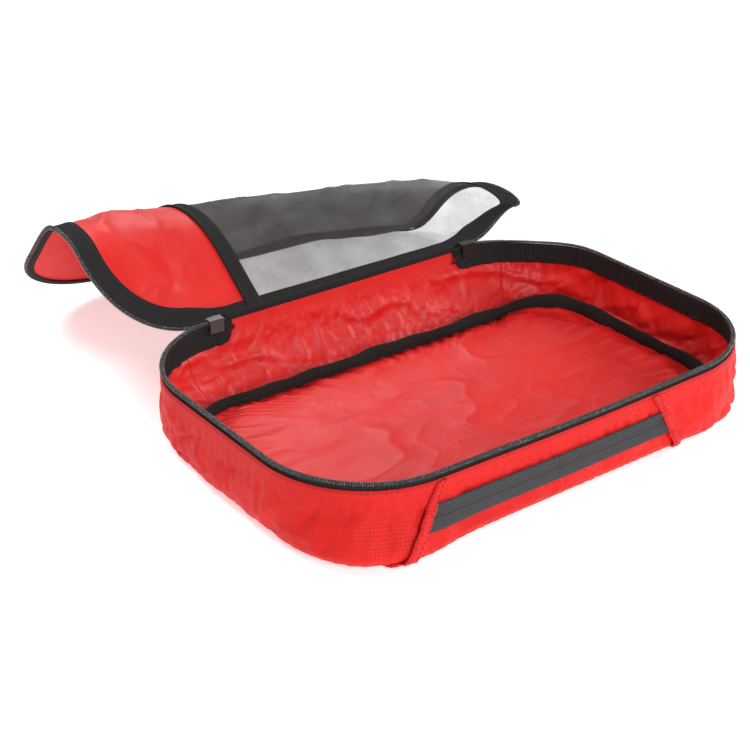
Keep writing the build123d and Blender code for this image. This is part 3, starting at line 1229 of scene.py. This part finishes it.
@dataclass
class CaseWalls:
    """Four walls of coated cloth, sewn at upright seams."""

    shop: Workshop
    thickness: float = 0.9 * MM
    hem: float = 0.062
    hinge_top: float = 0.02
    hinge_half: float = 97 * MM
    step: float = 1.5 * MM
    columns: int = 56

    def build(self) -> None:
        """Make the four walls."""
        outline = self.shop.case.outline
        foot = {"left": (-104, -150), "right": (60, 92)}
        left = [outline.front(x * MM) for x in foot["left"]]
        right = [outline.front(x * MM) for x in foot["right"]]
        back_left, back_right = outline.back(-140 * MM), outline.back(140 * MM)
        self._wall("wall_left", (back_left, back_left), left)
        self._wall("wall_front", left, right)
        self._wall("wall_right", right, (back_right, back_right))
        self._wall("wall_back", (back_right, back_right), (back_left + outline.length,) * 2)

    def _wall(self, name: str, start: tuple, end: tuple) -> None:
        """One wall.

        Args:
            name: Of the wall, and of the frame's node.
            start: Distances along the rim of its first seam, at its top and foot.
            end: The same for its last seam.
        """
        case = self.shop.case
        rows = int((end[0] - start[0]) / self.step)
        share = np.linspace(0, 1, self.columns)[None]
        along = np.linspace(0, 1, rows)[:, None]
        lower = lerp(self.hem, 1.0, share)
        distance = lerp(lerp(start[0], start[1], lower), lerp(end[0], end[1], lower), along)
        nearest = np.abs(np.mod(distance[:, :1] + case.outline.length / 2, case.outline.length)
                         - case.outline.length / 2)
        top = lerp(self.hinge_top, self.hem, smooth(nearest, self.hinge_half, self.hinge_half + 8 * MM))
        column = lerp(top, 1.0, share)
        points = case.at(distance, column)
        weave = np.stack(np.broadcast_arrays(distance, column * case.drop), axis=-1)
        finishes = self.shop.finishes
        wall = MeshBuilder.sheet(name + "_cloth", points, weave, self.thickness,
                                 (finishes.inside, finishes.outside))
        length = float(np.mean(distance[-1] - distance[0]))
        height = float(np.mean(1 - top)) * case.drop
        self.shop.fit(wall, "bag", "coated_cloth", name)


@dataclass
class FloorPanel:
    """Floor cloth, gathered along its edge, with the folded binding that stands on its seam."""

    shop: Workshop
    thickness: float = 0.9 * MM
    rows: int = 240
    columns: int = 36
    rise: float = 1.6 * MM
    binding_height: float = 12 * MM
    binding_thickness: float = 2.6 * MM

    def build(self) -> None:
        """Make the panel and its binding."""
        case, finishes = self.shop.case, self.shop.finishes
        outline = case.outline
        distance = np.arange(self.rows) * outline.length / self.rows
        edge = case.base(distance[:, None], np.ones((1, 1)))
        share = (1 - np.linspace(0, 0.985, self.columns) ** 0.9)[None, :, None]
        core = np.array([3 * MM, -10 * MM, self.rise])
        points = core + (edge - core) * share
        settled = self._settle(points)
        fine = Field.finer(settled, self.rows * 3, self.columns * 3, True)
        points = fine.points + fine.normals * self._wrinkles(fine.points, outline.length)[..., None]
        points[..., 2] = np.maximum(points[..., 2], 1.0 * MM)
        panel = self._panel(points)
        panel.data.materials.append(finishes.inside)
        panel.data.materials.append(finishes.outside)
        self.shop.fit(panel, "bag", "coated_cloth", "floor_panel")
        self._binding()

    def _settle(self, points: np.ndarray) -> np.ndarray:
        """Let the cloth buckle with its seam held."""
        pins = np.zeros(points.shape[:2])
        pins[:, 0] = 1
        settle = ClothSettle(growth=0.02, cap=5 * MM, gravity=0.05)
        settled = settle.run(points.reshape(-1, 3), MeshBuilder.grid_faces(self.rows, self.columns, True),
                             pins.ravel()).reshape(points.shape)
        bulge = settled[..., 2] - points[..., 2]
        settled[..., 2] = points[..., 2] + np.abs(bulge)
        return settled

    def _wrinkles(self, points: np.ndarray, length: float) -> np.ndarray:
        """Gathers along the seam and soft creases over the middle."""
        rows, columns = points.shape[:2]
        turn = np.arange(rows)[:, None] * 2 * np.pi / rows
        inward = np.linspace(0, 1, columns)[None]
        ring = np.stack([np.cos(turn) * 0.16 + 0 * inward, np.sin(turn) * 0.16 + 0 * inward,
                         inward * 0.02 + 0 * turn], axis=-1)
        gathers = cloth_noise(ring, (140, 140, 60), 8.1) * 1.5 * MM
        gathers = gathers * (smooth(inward, 0, 0.03) - smooth(inward, 0.06, 0.28))
        soft = cloth_noise(points, (8, 13, 8), 2.2) * 3.4 * MM
        long = points @ np.array([(0.8, 0.5, 0.0), (-0.6, 1.3, 0.0), (0.0, 0.0, 1.0)])
        creases = crumple(long, 21.7, 15.0) * 1.5 * MM
        return gathers + (soft + creases) * smooth(inward, 0.02, 0.25)

    def _panel(self, points: np.ndarray) -> bpy.types.Object:
        """A closed sheet from the rings, with a disc in the middle."""
        rows, columns = points.shape[:2]
        normals = grid_normals(points, True)
        sign = 1.0 if normals[..., 2].mean() > 0 else -1.0
        up = normals * sign * self.thickness / 2
        count = rows * columns
        front = MeshBuilder.grid_faces(rows, columns, True)
        middle = [row * columns + columns - 1 for row in range(rows)]
        if sign < 0:
            front = [tuple(reversed(face)) for face in front]
            middle = middle[::-1]
        front.append(tuple(middle))
        back = [tuple(corner + count for corner in reversed(face)) for face in front]
        edges = []
        for row in range(rows):
            here, there = row * columns, ((row + 1) % rows) * columns
            edges.append((here, there, there + count, here + count))
        slots = [0] * len(front) + [1] * len(back) + [0] * len(edges)
        corners = np.concatenate([(points + up).reshape(-1, 3), (points - up).reshape(-1, 3)])
        return MeshBuilder.make("floor_cloth", corners, front + back + edges, corners[:, :2], slots)

    def _binding(self) -> None:
        """A folded tape that stands up from the floor seam."""
        case, finishes = self.shop.case, self.shop.finishes
        rows = 720
        distance = np.arange(rows)[:, None] * case.outline.length / rows
        seam = case.base(distance, np.ones((1, 1)))[:, 0]
        _, outward = case.outline.at(distance[:, 0])
        outward = np.concatenate([outward, np.zeros((rows, 1))], axis=1)
        half, tall = self.binding_thickness / 2, self.binding_height
        section = np.array([(half, 0), (half * 1.15, tall * 0.3), (half, tall * 0.75),
                            (half * 0.55, tall * 0.97),
                            (-half * 0.1, tall * 1.02), (-half * 0.75, tall * 0.93),
                            (-half * 1.1, tall * 0.6),
                            (-half, tall * 0.2), (-half * 1.1, 0)])
        wobble = cloth_noise(seam, (45, 45, 1), 6.6)[:, None]
        lean = (0.16 + 0.30 * wobble) * section[None, :, 1]
        height = section[None, :, 1] * (1 + 0.10 * cloth_noise(seam, (70, 70, 1), 9.4)[:, None])
        points = (seam[:, None] + outward[:, None] * (section[None, :, :1] - lean[..., None] - half)
                  + np.array([0, 0, 1.0]) * height[..., None])
        lengths = np.concatenate([[0], np.cumsum(np.linalg.norm(np.diff(section, axis=0), axis=1))])
        weave = np.stack(np.broadcast_arrays(distance, lengths[None]), axis=-1)
        columns = len(section)
        faces = MeshBuilder.grid_faces(rows, columns, True)
        for row in range(rows):
            here, there = row * columns, ((row + 1) % rows) * columns
            faces.append((here + columns - 1, there + columns - 1, there, here))
        band = MeshBuilder.make("floor_seam_binding", points, faces, weave)
        band.data.materials.append(finishes.binding)
        self.shop.fit(band, "bag", "binding", "floor_binding")
        stitches = Stitching(length=2.4 * MM, gap=0.9 * MM, radius=0.22 * MM)
        path = points[:, 6]
        row = stitches.along("floor_seam_stitches", path[::2], -outward[::2], finishes.black_thread)
        self.shop.fit(row, "bag", "thread")


@dataclass
class CaseZipper:
    """The case's half of the zipper: ribbed tape, coil, stitching and the ends at the hinge."""

    shop: Workshop
    tape_drop: float = 0.245
    tape_end: float = 96 * MM
    coil_end: float = 104 * MM
    thickness: float = 0.8 * MM
    columns: int = 14

    def build(self) -> None:
        """Make the tape, the coil and their stitches."""
        case, finishes = self.shop.case, self.shop.finishes
        outline = case.outline
        start, end = outline.back(-self.tape_end), outline.back(self.tape_end)
        distance = np.arange(start, end, 1.5 * MM)[:, None]
        from_end = np.minimum(distance - start, end - distance)
        turn = np.clip(from_end / (9 * MM), 0, 1)
        rounded = self.tape_drop * np.sqrt(turn * (2 - turn))
        share = np.linspace(0.0, 1, self.columns)[None] * np.maximum(rounded, 0.02)
        ripple = cloth_noise(case.base(distance, share), (28, 28, 4), 4.4) * 0.35 * MM
        points = case.at(distance, share, -1.15 * MM + ripple)
        weave = np.stack(np.broadcast_arrays(distance, share * case.drop), axis=-1)
        tape = MeshBuilder.sheet("case_zipper_tape", points, weave, self.thickness,
                                 (finishes.tape, finishes.tape))
        self.shop.fit(tape, "bag", "zipper_tape", "zipper_tape_bag", "hinge_tape_bag")
        self._coil()
        self._stitches()

    def _coil(self) -> None:
        """Wind the coil on the tape's upper edge."""
        case, finishes = self.shop.case, self.shop.finishes
        outline = case.outline
        distance = np.arange(outline.back(-self.coil_end), outline.back(self.coil_end), 1.0 * MM)
        top = case.at(distance, np.zeros(1), -0.6 * MM)
        _, outward = outline.at(distance)
        outward = np.concatenate([outward, np.zeros((len(outward), 1))], axis=1)
        up = np.broadcast_to(np.array([0, 0, 1.0]), top.shape)
        path = top + up * 0.9 * MM
        coil = CoilMaker().wind("case_zipper_coil", path, outward, up, finishes.coil)
        cord = MeshBuilder.tube("case_coil_cord", path, 0.75 * MM, finishes.black_thread)
        self.shop.fit(MeshBuilder.join("case_zipper_coil_wound", [coil, cord]), "bag", "zipper_coil",
                      "zipper_coil_bag")
        row = Stitching(length=1.9 * MM, gap=0.7 * MM, radius=0.2 * MM)
        rows = [row.along(f"coil_stitches_{side}", case.at(distance, np.full(1, 0.035), lift),
                          out, finishes.black_thread)
                for side, lift, out in (("inside", -1.6 * MM, -outward), ("outside", -0.7 * MM, outward))]
        self.shop.fit(MeshBuilder.join("case_coil_stitches", rows), "bag", "thread")

    def _stitches(self) -> None:
        """Rows of stitches that hold the tape to the cloth."""
        case, finishes = self.shop.case, self.shop.finishes
        outline = case.outline
        distance = np.arange(outline.back(-112 * MM), outline.back(112 * MM), 1.5 * MM)
        row = Stitching(length=2.6 * MM, gap=0.9 * MM, radius=0.24 * MM)
        outside = [row.along(f"rim_stitches_{number}", case.at(distance, np.full(1, share), 0.5 * MM),
                             case.out(distance, np.full(1, share)), finishes.red_thread)
                   for number, share in enumerate((0.088,))]
        inside = row.along("rim_stitches_inside", case.at(distance, np.full(1, 0.225), -1.6 * MM),
                           -case.out(distance, np.full(1, 0.225)), finishes.black_thread)
        self.shop.fit(MeshBuilder.join("rim_topstitching", outside + [inside]), "bag", "thread")


@dataclass
class SlantedSeams:
    """Folded strips with two rows of stitches over the front's slanted seams."""

    shop: Workshop
    width: float = 6.0 * MM
    thickness: float = 1.0 * MM
    step_up: float = 2.3 * MM
    places: tuple = (("left", -104, -150), ("right", 60, 92))

    def build(self) -> None:
        """Make both strips and their stitches."""
        for side, top, foot in self.places:
            self._seam(side, top, foot)

    def _seam(self, side: str, top: float, foot: float) -> None:
        """One strip, from the tape to under the case."""
        case, finishes = self.shop.case, self.shop.finishes
        share = np.linspace(0.075, 0.86, 70)[:, None]
        middle = case.outline.front(0) + lerp(top, foot, share) * MM
        across = np.linspace(-0.5, 0.5, 9)[None]
        distance = middle + across * self.width
        over_webbing = smooth(share, 0.26, 0.32) - smooth(share, 0.60, 0.68)
        crown = 1.0 * MM + 0.55 * MM * (1 - (across * 2) ** 4) + self.step_up * over_webbing
        points = case.at(distance, share + 0 * across, crown)
        points[..., 2] = np.maximum(points[..., 2], 0.6 * MM)
        weave = np.stack(np.broadcast_arrays(share * case.drop, distance), axis=-1)
        strip = MeshBuilder.sheet(f"seam_strip_{side}", points, weave, self.thickness,
                                  (finishes.outside, finishes.outside))
        self.shop.fit(strip, "bag", "binding", f"handle_seam_{side}")
        row = Stitching(length=2.3 * MM, gap=0.8 * MM, radius=0.27 * MM)
        rise = (smooth(share, 0.26, 0.32) - smooth(share, 0.60, 0.68))[:, 0]
        rows = []
        for number, shift in enumerate((-1.8 * MM, 1.8 * MM)):
            path = case.at(middle[:, 0] + shift, share[:, 0], 1.95 * MM + self.step_up * rise)
            path[..., 2] = np.maximum(path[..., 2], 0.3 * MM)
            rows.append(row.along(f"seam_stitches_{side}_{number}", path,
                                  case.out(middle[:, 0] + shift, share[:, 0]), finishes.red_thread))
        self.shop.fit(MeshBuilder.join(f"seam_stitching_{side}", rows), "bag", "thread")


@dataclass
class CarryHandle:
    """Flat herringbone webbing along the front, held in both slanted seams."""

    shop: Workshop
    width: float = 14.5 * MM
    thickness: float = 1.6 * MM
    low: float = 17.0 * MM
    left_seam: tuple = (-104.0, -150.0)
    right_seam: tuple = (60.0, 92.0)
    middle: float = -22 * MM
    gap: float = 1.9 * MM

    def build(self) -> None:
        """Make the webbing in two halves that meet in its middle."""
        left = self._half("left", None, self.middle)
        right = self._half("right", self.middle, None)
        depth = -0.124
        self.shop.bend(left, ("bag", "handle"), ((-0.112, depth, 0.022), (-0.05, depth, 0.022)), "webbing",
                       "handle_webbing", "handle_end_left")
        self.shop.bend(right, ("bag", "handle"), ((0.070, depth, 0.022), (0.010, depth, 0.022)), "webbing",
                       "handle_end_right")

    def _half(self, side: str, start: float | None, end: float | None) -> bpy.types.Object:
        """One half of the webbing; an end that is left out lies along its seam."""
        case, finishes = self.shop.case, self.shop.finishes
        across = np.linspace(-0.5, 0.5, 15)[None]
        high = self.low + self.width * (0.5 - across)
        share = np.interp(high, *self._heights())
        slant = lerp(*self.left_seam, share), lerp(*self.right_seam, share)
        first, last = (slant[0] * MM if start is None else start), (slant[1] * MM if end is None else end)
        along = lerp(first, last, np.linspace(0, 1, 80)[:, None])
        distance = case.outline.front(0) + along
        base = case.base(distance, share + 0 * distance)
        ridge = 0.5 * MM * hump(across, 0.0, 0.06) - 0.35 * MM * hump(np.abs(across), 0.5, 0.05)
        wave = cloth_noise(base, (18, 18, 30), 7.7) * 0.8 * MM
        normals = -grid_normals(base)
        points = base + normals * (self.gap + ridge + wave)[..., None]
        weave = np.stack(np.broadcast_arrays(along, across * 20 * MM), axis=-1)
        return MeshBuilder.sheet(f"carry_webbing_{side}", points, weave, self.thickness,
                                 (finishes.webbing, finishes.webbing))

    def _heights(self) -> tuple[np.ndarray, np.ndarray]:
        """Heights on the front wall and their shares, lowest first."""
        share = np.linspace(0, 0.72, 40)
        heights = self.shop.case.base(np.full(40, self.shop.case.outline.front(0)), share)[:, 2]
        return heights[::-1], share[::-1]


@dataclass
class HingeBand:
    """The black band on which the lid turns, with the tacks that end the zipper."""

    shop: Workshop
    half: float = 100 * MM
    thickness: float = 1.2 * MM
    tack_length: float = 7 * MM
    tack_width: float = 3 * MM
    tack_drop: float = 0.12

    def build(self) -> None:
        """Make the band and give the tacks their thread."""
        case, lid, finishes = self.shop.case, self.shop.lid, self.shop.finishes
        along = np.linspace(-self.half, self.half, 150)
        below = case.at(np.mod(-along, case.outline.length), np.full(1, 0.045), 0.2 * MM)
        above = lid.at(np.stack([along, np.full(along.shape, 2.5 * MM)], axis=-1), 1.0 * MM)
        crown = np.stack([along, np.full(along.shape, lid.hinge_y), np.full(along.shape, lid.hinge_z)],
                         axis=-1)
        crown[:, 2] += cloth_noise(crown, (22, 1, 1), 1.5) * 0.8 * MM
        share = np.linspace(0, 1, 12)[None, :, None]
        points = ((1 - share) ** 2 * below[:, None] + 2 * share * (1 - share) * crown[:, None]
                  + share ** 2 * above[:, None])
        weave = np.stack(np.broadcast_arrays(along[:, None], share[..., 0] * 14 * MM), axis=-1)
        band = MeshBuilder.sheet("hinge_band", points, weave, self.thickness,
                                 (finishes.binding, finishes.binding))
        self.shop.bend(band, ("bag", "lid_rear"), ((0, 0.1206, 0.0490), (0, 0.1240, 0.0535)), "binding",
                       "hinge_binding")
        for side in ("left", "right"):
            self._tack(side)

    def _tack(self, side: str) -> None:
        """A bar tack: a dense zigzag of thread; the two long stitches under it are not made."""
        case = self.shop.case
        low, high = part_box(f"bar_tack_{side}")
        across = (low[0] + high[0]) / 2
        count = 64
        step = np.arange(count)
        sweep = np.linspace(-0.5, 0.5, count) * self.tack_length
        distance = case.outline.back(across) + sweep
        side_to_side = np.where(step % 2, 0.5, -0.5) * self.tack_width / case.drop
        share = self.tack_drop + side_to_side + sweep / case.drop * 0.5
        path = case.at(distance, share, -1.9 * MM)
        tack = MeshBuilder.tube(f"bar_tack_thread_{side}", path, 0.24 * MM, self.shop.finishes.red_thread)
        self.shop.fit(tack, "bag", "thread", f"bar_tack_{side}")


@dataclass
class Sliders:
    """Both sliders and their pulls, which keep their exact shapes under worn enamel."""

    shop: Workshop

    def build(self) -> None:
        """Dress the sliders and pulls."""
        finishes = self.shop.finishes
        for side, finish in (("left", finishes.slider_grey), ("right", finishes.slider_black)):
            for node in (f"slider_body_{side}", f"slider_pull_{side}"):
                piece = frame["nodes"][node]
                for slot in piece.material_slots:
                    slot.material = finish
                LOG.info("%s dressed", node)


@dataclass
class LidPanels:
    """Coated cloth on one end of the lid, mesh on the rest, and the band between them."""

    shop: Workshop
    inset: float = 1.0 * MM
    divider: tuple = (-80 * MM, -68 * MM)
    step: float = 1.6 * MM
    fold: tuple = ((0, 0.187, 0.093), (0, 0.263, 0.073))

    def build(self) -> None:
        """Make the panels and the divider."""
        finishes, half = self.shop.finishes, self.shop.lid.outline.half_width
        coated = self._panel("lid_coated_cloth", -half + self.inset, self.divider[0] + 5 * MM, 0.8 * MM,
                             (finishes.inside, finishes.outside), 1.5, 0.0)
        self.hang(coated, "coated_cloth", "lid_coated_panel_rear", "lid_coated_panel_front")
        net = self._panel("lid_mesh_cloth", self.divider[1] - 5 * MM, half - self.inset, 0.3 * MM,
                          (finishes.mesh, finishes.mesh), 0.8, 0.3 * MM)
        self.hang(net, "mesh", "lid_mesh_rear", "lid_mesh_front")
        self._divider()

    def hang(self, piece: bpy.types.Object, slot: str, *nodes: str) -> None:
        """Hand a piece of the lid to the workshop, which bakes its transform and hides the parts it replaces.
        """
        self.shop.bend(piece, ("lid_rear", "lid_front"), self.fold, slot, *nodes)

    def _panel(self, name: str, start: float, end: float, thickness: float, materials: tuple, creased: float,
               lift: float) -> bpy.types.Object:
        """One panel between two places across the lid.

        Args:
            name: Of the panel.
            start: Its lower X.
            end: Its upper X.
            thickness: Of its cloth.
            materials: Finishes of its inner and outer faces.
            creased: Depth of its creases, in millimetres.
            lift: How far it lies towards the lid's inner side.

        Returns:
            The panel.
        """
        lid = self.shop.lid
        turn = np.linspace(0, 1, int((end - start) / self.step))
        x = start + (end - start) * turn
        if start < -0.17:
            x = end - (end - start) * np.sin(turn[::-1] * np.pi / 2)
        elif end > 0.17:
            x = start + (end - start) * np.sin(turn * np.pi / 2)
        low, high = lid.span(x, self.inset)
        share = np.linspace(0, 1, 150)[None]
        along = lerp(low[:, None], high[:, None], share)
        flat = np.stack(np.broadcast_arrays(x[:, None], along), axis=-1)
        points = lid.at(flat, lift)
        edge = np.minimum(share, 1 - share) * (high - low)[:, None]
        edge = np.minimum(edge, np.minimum(x - start, end - x)[:, None])
        free = smooth(edge, 15 * MM, 34 * MM)
        long = points @ np.array([(1.25, -0.6, 0.0), (0.5, 0.7, 0.0), (0.0, 0.0, 0.7)])
        creases = (crumple(long, 41.0 + creased, 19.0) - 0.25) * 2.0 * creased * MM
        broad = cloth_noise(long, (16, 16, 16), 12.5) * 1.5 * MM * creased
        points = points + lid.normal(flat) * (free * (creases + broad))[..., None]
        points[..., 2] = np.maximum(points[..., 2], 1.2 * MM)
        return MeshBuilder.sheet(name, points, flat, thickness, materials)

    def _divider(self) -> None:
        """A ribbed band where the panels meet, with a row of stitches along each edge."""
        lid, finishes = self.shop.lid, self.shop.finishes
        along = np.linspace(1.5 * MM, 240.5 * MM, 170)[:, None]
        across = np.linspace(0, 1, 11)[None]
        sway = 1.2 * MM * np.sin(along / (60 * MM))
        x = lerp(*self.divider, across) + sway
        flat = np.stack(np.broadcast_arrays(x, along), axis=-1)
        crown = 1.25 * MM + 0.2 * MM * hump(np.abs(across - 0.5), 0.32, 0.1)
        points = lid.at(flat, crown)
        weave = flat[..., ::-1]
        band = MeshBuilder.sheet("lid_divider_band", points.swapaxes(0, 1), weave.swapaxes(0, 1), 1.0 * MM,
                                 (finishes.binding, finishes.binding))
        self.hang(band, "binding", "lid_divider_rear", "lid_divider_front")
        row = Stitching()
        rows = []
        for number, share in enumerate((0.16, 0.84)):
            place = np.stack([lerp(*self.divider, share) + sway[:, 0], along[:, 0]], axis=-1)
            rows.append(row.along(f"divider_stitches_{number}", lid.at(place, 1.9 * MM), lid.normal(place),
                                  finishes.black_thread))
        self.hang(MeshBuilder.join("divider_stitching", rows), "thread")


@dataclass
class LidZipper:
    """The lid's half of the zipper, round its whole edge."""

    shop: Workshop
    panels: LidPanels
    width: float = 15 * MM
    hinge_width: float = 7 * MM
    outer_width: float = 4.5 * MM
    edge: float = 1.4 * MM
    thickness: float = 0.8 * MM
    coil_end: float = 104 * MM

    def build(self) -> None:
        """Make the tape, the coil and their stitches."""
        lid, finishes = self.shop.lid, self.shop.finishes
        rows = 720
        distance = np.arange(rows)[:, None] * lid.outline.length / rows
        nearest = np.minimum(distance, lid.outline.length - distance)
        width = lerp(self.hinge_width, self.width, smooth(nearest, 92 * MM, 130 * MM))
        inset = self.edge + np.linspace(0, 1, 13)[None] * width
        flat = lid.edge(distance, inset)
        points = lid.at(flat, self._lift(distance, inset))
        weave = np.stack(np.broadcast_arrays(distance, inset), axis=-1)
        tape = MeshBuilder.sheet("lid_zipper_tape", points, weave, self.thickness,
                                 (finishes.tape, finishes.tape), closed=True)
        self.panels.hang(tape, "zipper_tape", "lid_tape_rear", "lid_tape_front")
        rim = self.edge - 0.4 * MM + np.linspace(0, 1, 6)[None] * self.outer_width
        flat = lid.edge(distance, rim)
        points = lid.at(flat, -0.95 * MM - 0.3 * MM * hump(rim, self.edge + self.outer_width / 2, 2 * MM))
        weave = np.stack(np.broadcast_arrays(distance, rim), axis=-1)
        edge = MeshBuilder.sheet("lid_edge_binding", points, weave, 0.9 * MM,
                                 (finishes.binding, finishes.binding), closed=True)
        self.panels.hang(edge, "binding")
        self._coil()

    def _lift(self, distance: np.ndarray, inset: np.ndarray) -> np.ndarray:
        """How far the tape lies off the lid's cloth."""
        turn = distance / self.shop.lid.outline.length * 2 * np.pi
        ring = np.stack([np.cos(turn) * 0.16 + 0 * inset, np.sin(turn) * 0.16 + 0 * inset, inset + 0 * turn],
                        axis=-1)
        return 1.1 * MM + cloth_noise(ring, (45, 45, 20), 6.1) * 0.5 * MM

    def _coil(self) -> None:
        """Wind the coil on the lid's edge and sew it down."""
        lid, finishes, outline = self.shop.lid, self.shop.finishes, self.shop.lid.outline
        distance = np.arange(outline.back(-self.coil_end), outline.back(self.coil_end), 1.0 * MM)
        flat = lid.edge(distance, np.full(1, self.edge - 0.9 * MM))
        path = lid.at(flat, 1.1 * MM)
        normal = lid.normal(flat)
        outward = unit(path - lid.at(lid.edge(distance, np.full(1, 5 * MM)), 1.1 * MM))
        coil = CoilMaker().wind("lid_zipper_coil", path, normal, outward, finishes.coil)
        cord = MeshBuilder.tube("lid_coil_cord", path, 0.75 * MM, finishes.black_thread)
        self.panels.hang(MeshBuilder.join("lid_zipper_coil_wound", [coil, cord]), "zipper_coil",
                          "lid_coil_rear", "lid_coil_front")
        row = Stitching(length=1.9 * MM, gap=0.7 * MM, radius=0.2 * MM)
        rows = []
        for number, inset in enumerate((3.4 * MM, 14.0 * MM)):
            place = lid.edge(distance, np.full(1, inset))
            lift = self._lift(distance, np.full(1, inset)) + 0.45 * MM
            rows.append(row.along(f"lid_stitches_{number}", lid.at(place, lift), lid.normal(place),
                                  finishes.black_thread))
        self.panels.hang(MeshBuilder.join("lid_zipper_stitches", rows), "thread")


@dataclass(frozen=True)
class Lamp:
    """A square soft panel of light, aimed at the case."""

    name: str
    place: tuple
    size: float
    power: float


@dataclass
class Studio:
    """Pale floor, soft light and camera."""

    finishes: Finishes
    lamps: tuple = (Lamp("front", (-0.25, -1.5, 0.8), 0.9, 18.0), Lamp("top", (-0.5, 0.75, 1.1), 0.45, 8.0),
                    Lamp("side", (1.3, -0.35, 0.7), 0.6, 9.0), Lamp("back", (0.62, 1.25, 0.95), 0.4, 4.5))
    aim: tuple = (0.0, 0.08, 0.03)
    # Where the camera is, the direction behind it, and its lens came from a fit run outside this script.
    place: tuple = (-0.5815, -0.6971, 0.5025)
    back: tuple = (-0.5278, -0.7107, 0.4651)
    lens: float = 74.2

    def build(self) -> None:
        """Make the floor, the lights, the sky and the camera."""
        self._floor()
        self._lights()
        self._camera()

    def _floor(self) -> None:
        """A wide pale floor."""
        size = 6.0
        corners = np.array([(-size, -size, 0), (size, -size, 0), (size, size, 0), (-size, size, 0)], float)
        floor = MeshBuilder.make("studio_floor", corners, [(0, 1, 2, 3)])
        floor.data.materials.append(self.finishes.floor)

    def _lights(self) -> None:
        """Four soft panels and an even sky."""
        world = bpy.data.worlds.new("studio_sky")
        world.use_nodes = True
        background = world.node_tree.nodes["Background"]
        background.inputs["Color"].default_value = (1.0, 1.0, 1.0, 1.0)
        background.inputs["Strength"].default_value = 0.27
        bpy.context.scene.world = world
        for panel in self.lamps:
            lamp = bpy.data.lights.new(f"{panel.name}_light", "AREA")
            lamp.energy = panel.power
            lamp.size = panel.size
            holder = bpy.data.objects.new(f"{panel.name}_light", lamp)
            holder.location = panel.place
            toward = Vector(self.aim) - Vector(panel.place)
            holder.rotation_euler = toward.to_track_quat("-Z", "Y").to_euler()
            bpy.context.scene.collection.objects.link(holder)

    def _camera(self) -> None:
        """The camera at the view's angle."""
        back = Vector(self.back).normalized()
        right = Vector((0, 0, 1)).cross(back).normalized()
        up = back.cross(right)
        lens = bpy.data.cameras.new("view_camera")
        lens.lens = self.lens
        lens.sensor_width = 36.0
        lens.clip_start, lens.clip_end = 0.01, 50.0
        camera = bpy.data.objects.new("view_camera", lens)
        turn = Matrix((right, up, back)).transposed().to_4x4()
        camera.matrix_world = Matrix.Translation(Vector(self.place)) @ turn
        bpy.context.scene.collection.objects.link(camera)
        bpy.context.scene.camera = camera


def main() -> None:
    """Build every part of the case round its frame."""
    logging.basicConfig(level=logging.INFO, format="%(message)s")
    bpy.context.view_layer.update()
    bpy.context.scene.view_settings.view_transform = "Standard"
    finishes = Finishes()
    shop = Workshop(finishes)
    Studio(finishes).build()
    CaseWalls(shop).build()
    FloorPanel(shop).build()
    CaseZipper(shop).build()
    SlantedSeams(shop).build()
    CarryHandle(shop).build()
    HingeBand(shop).build()
    Sliders(shop).build()
    panels = LidPanels(shop)
    panels.build()
    LidZipper(shop, panels).build()


if __name__ == "__main__":
    main()
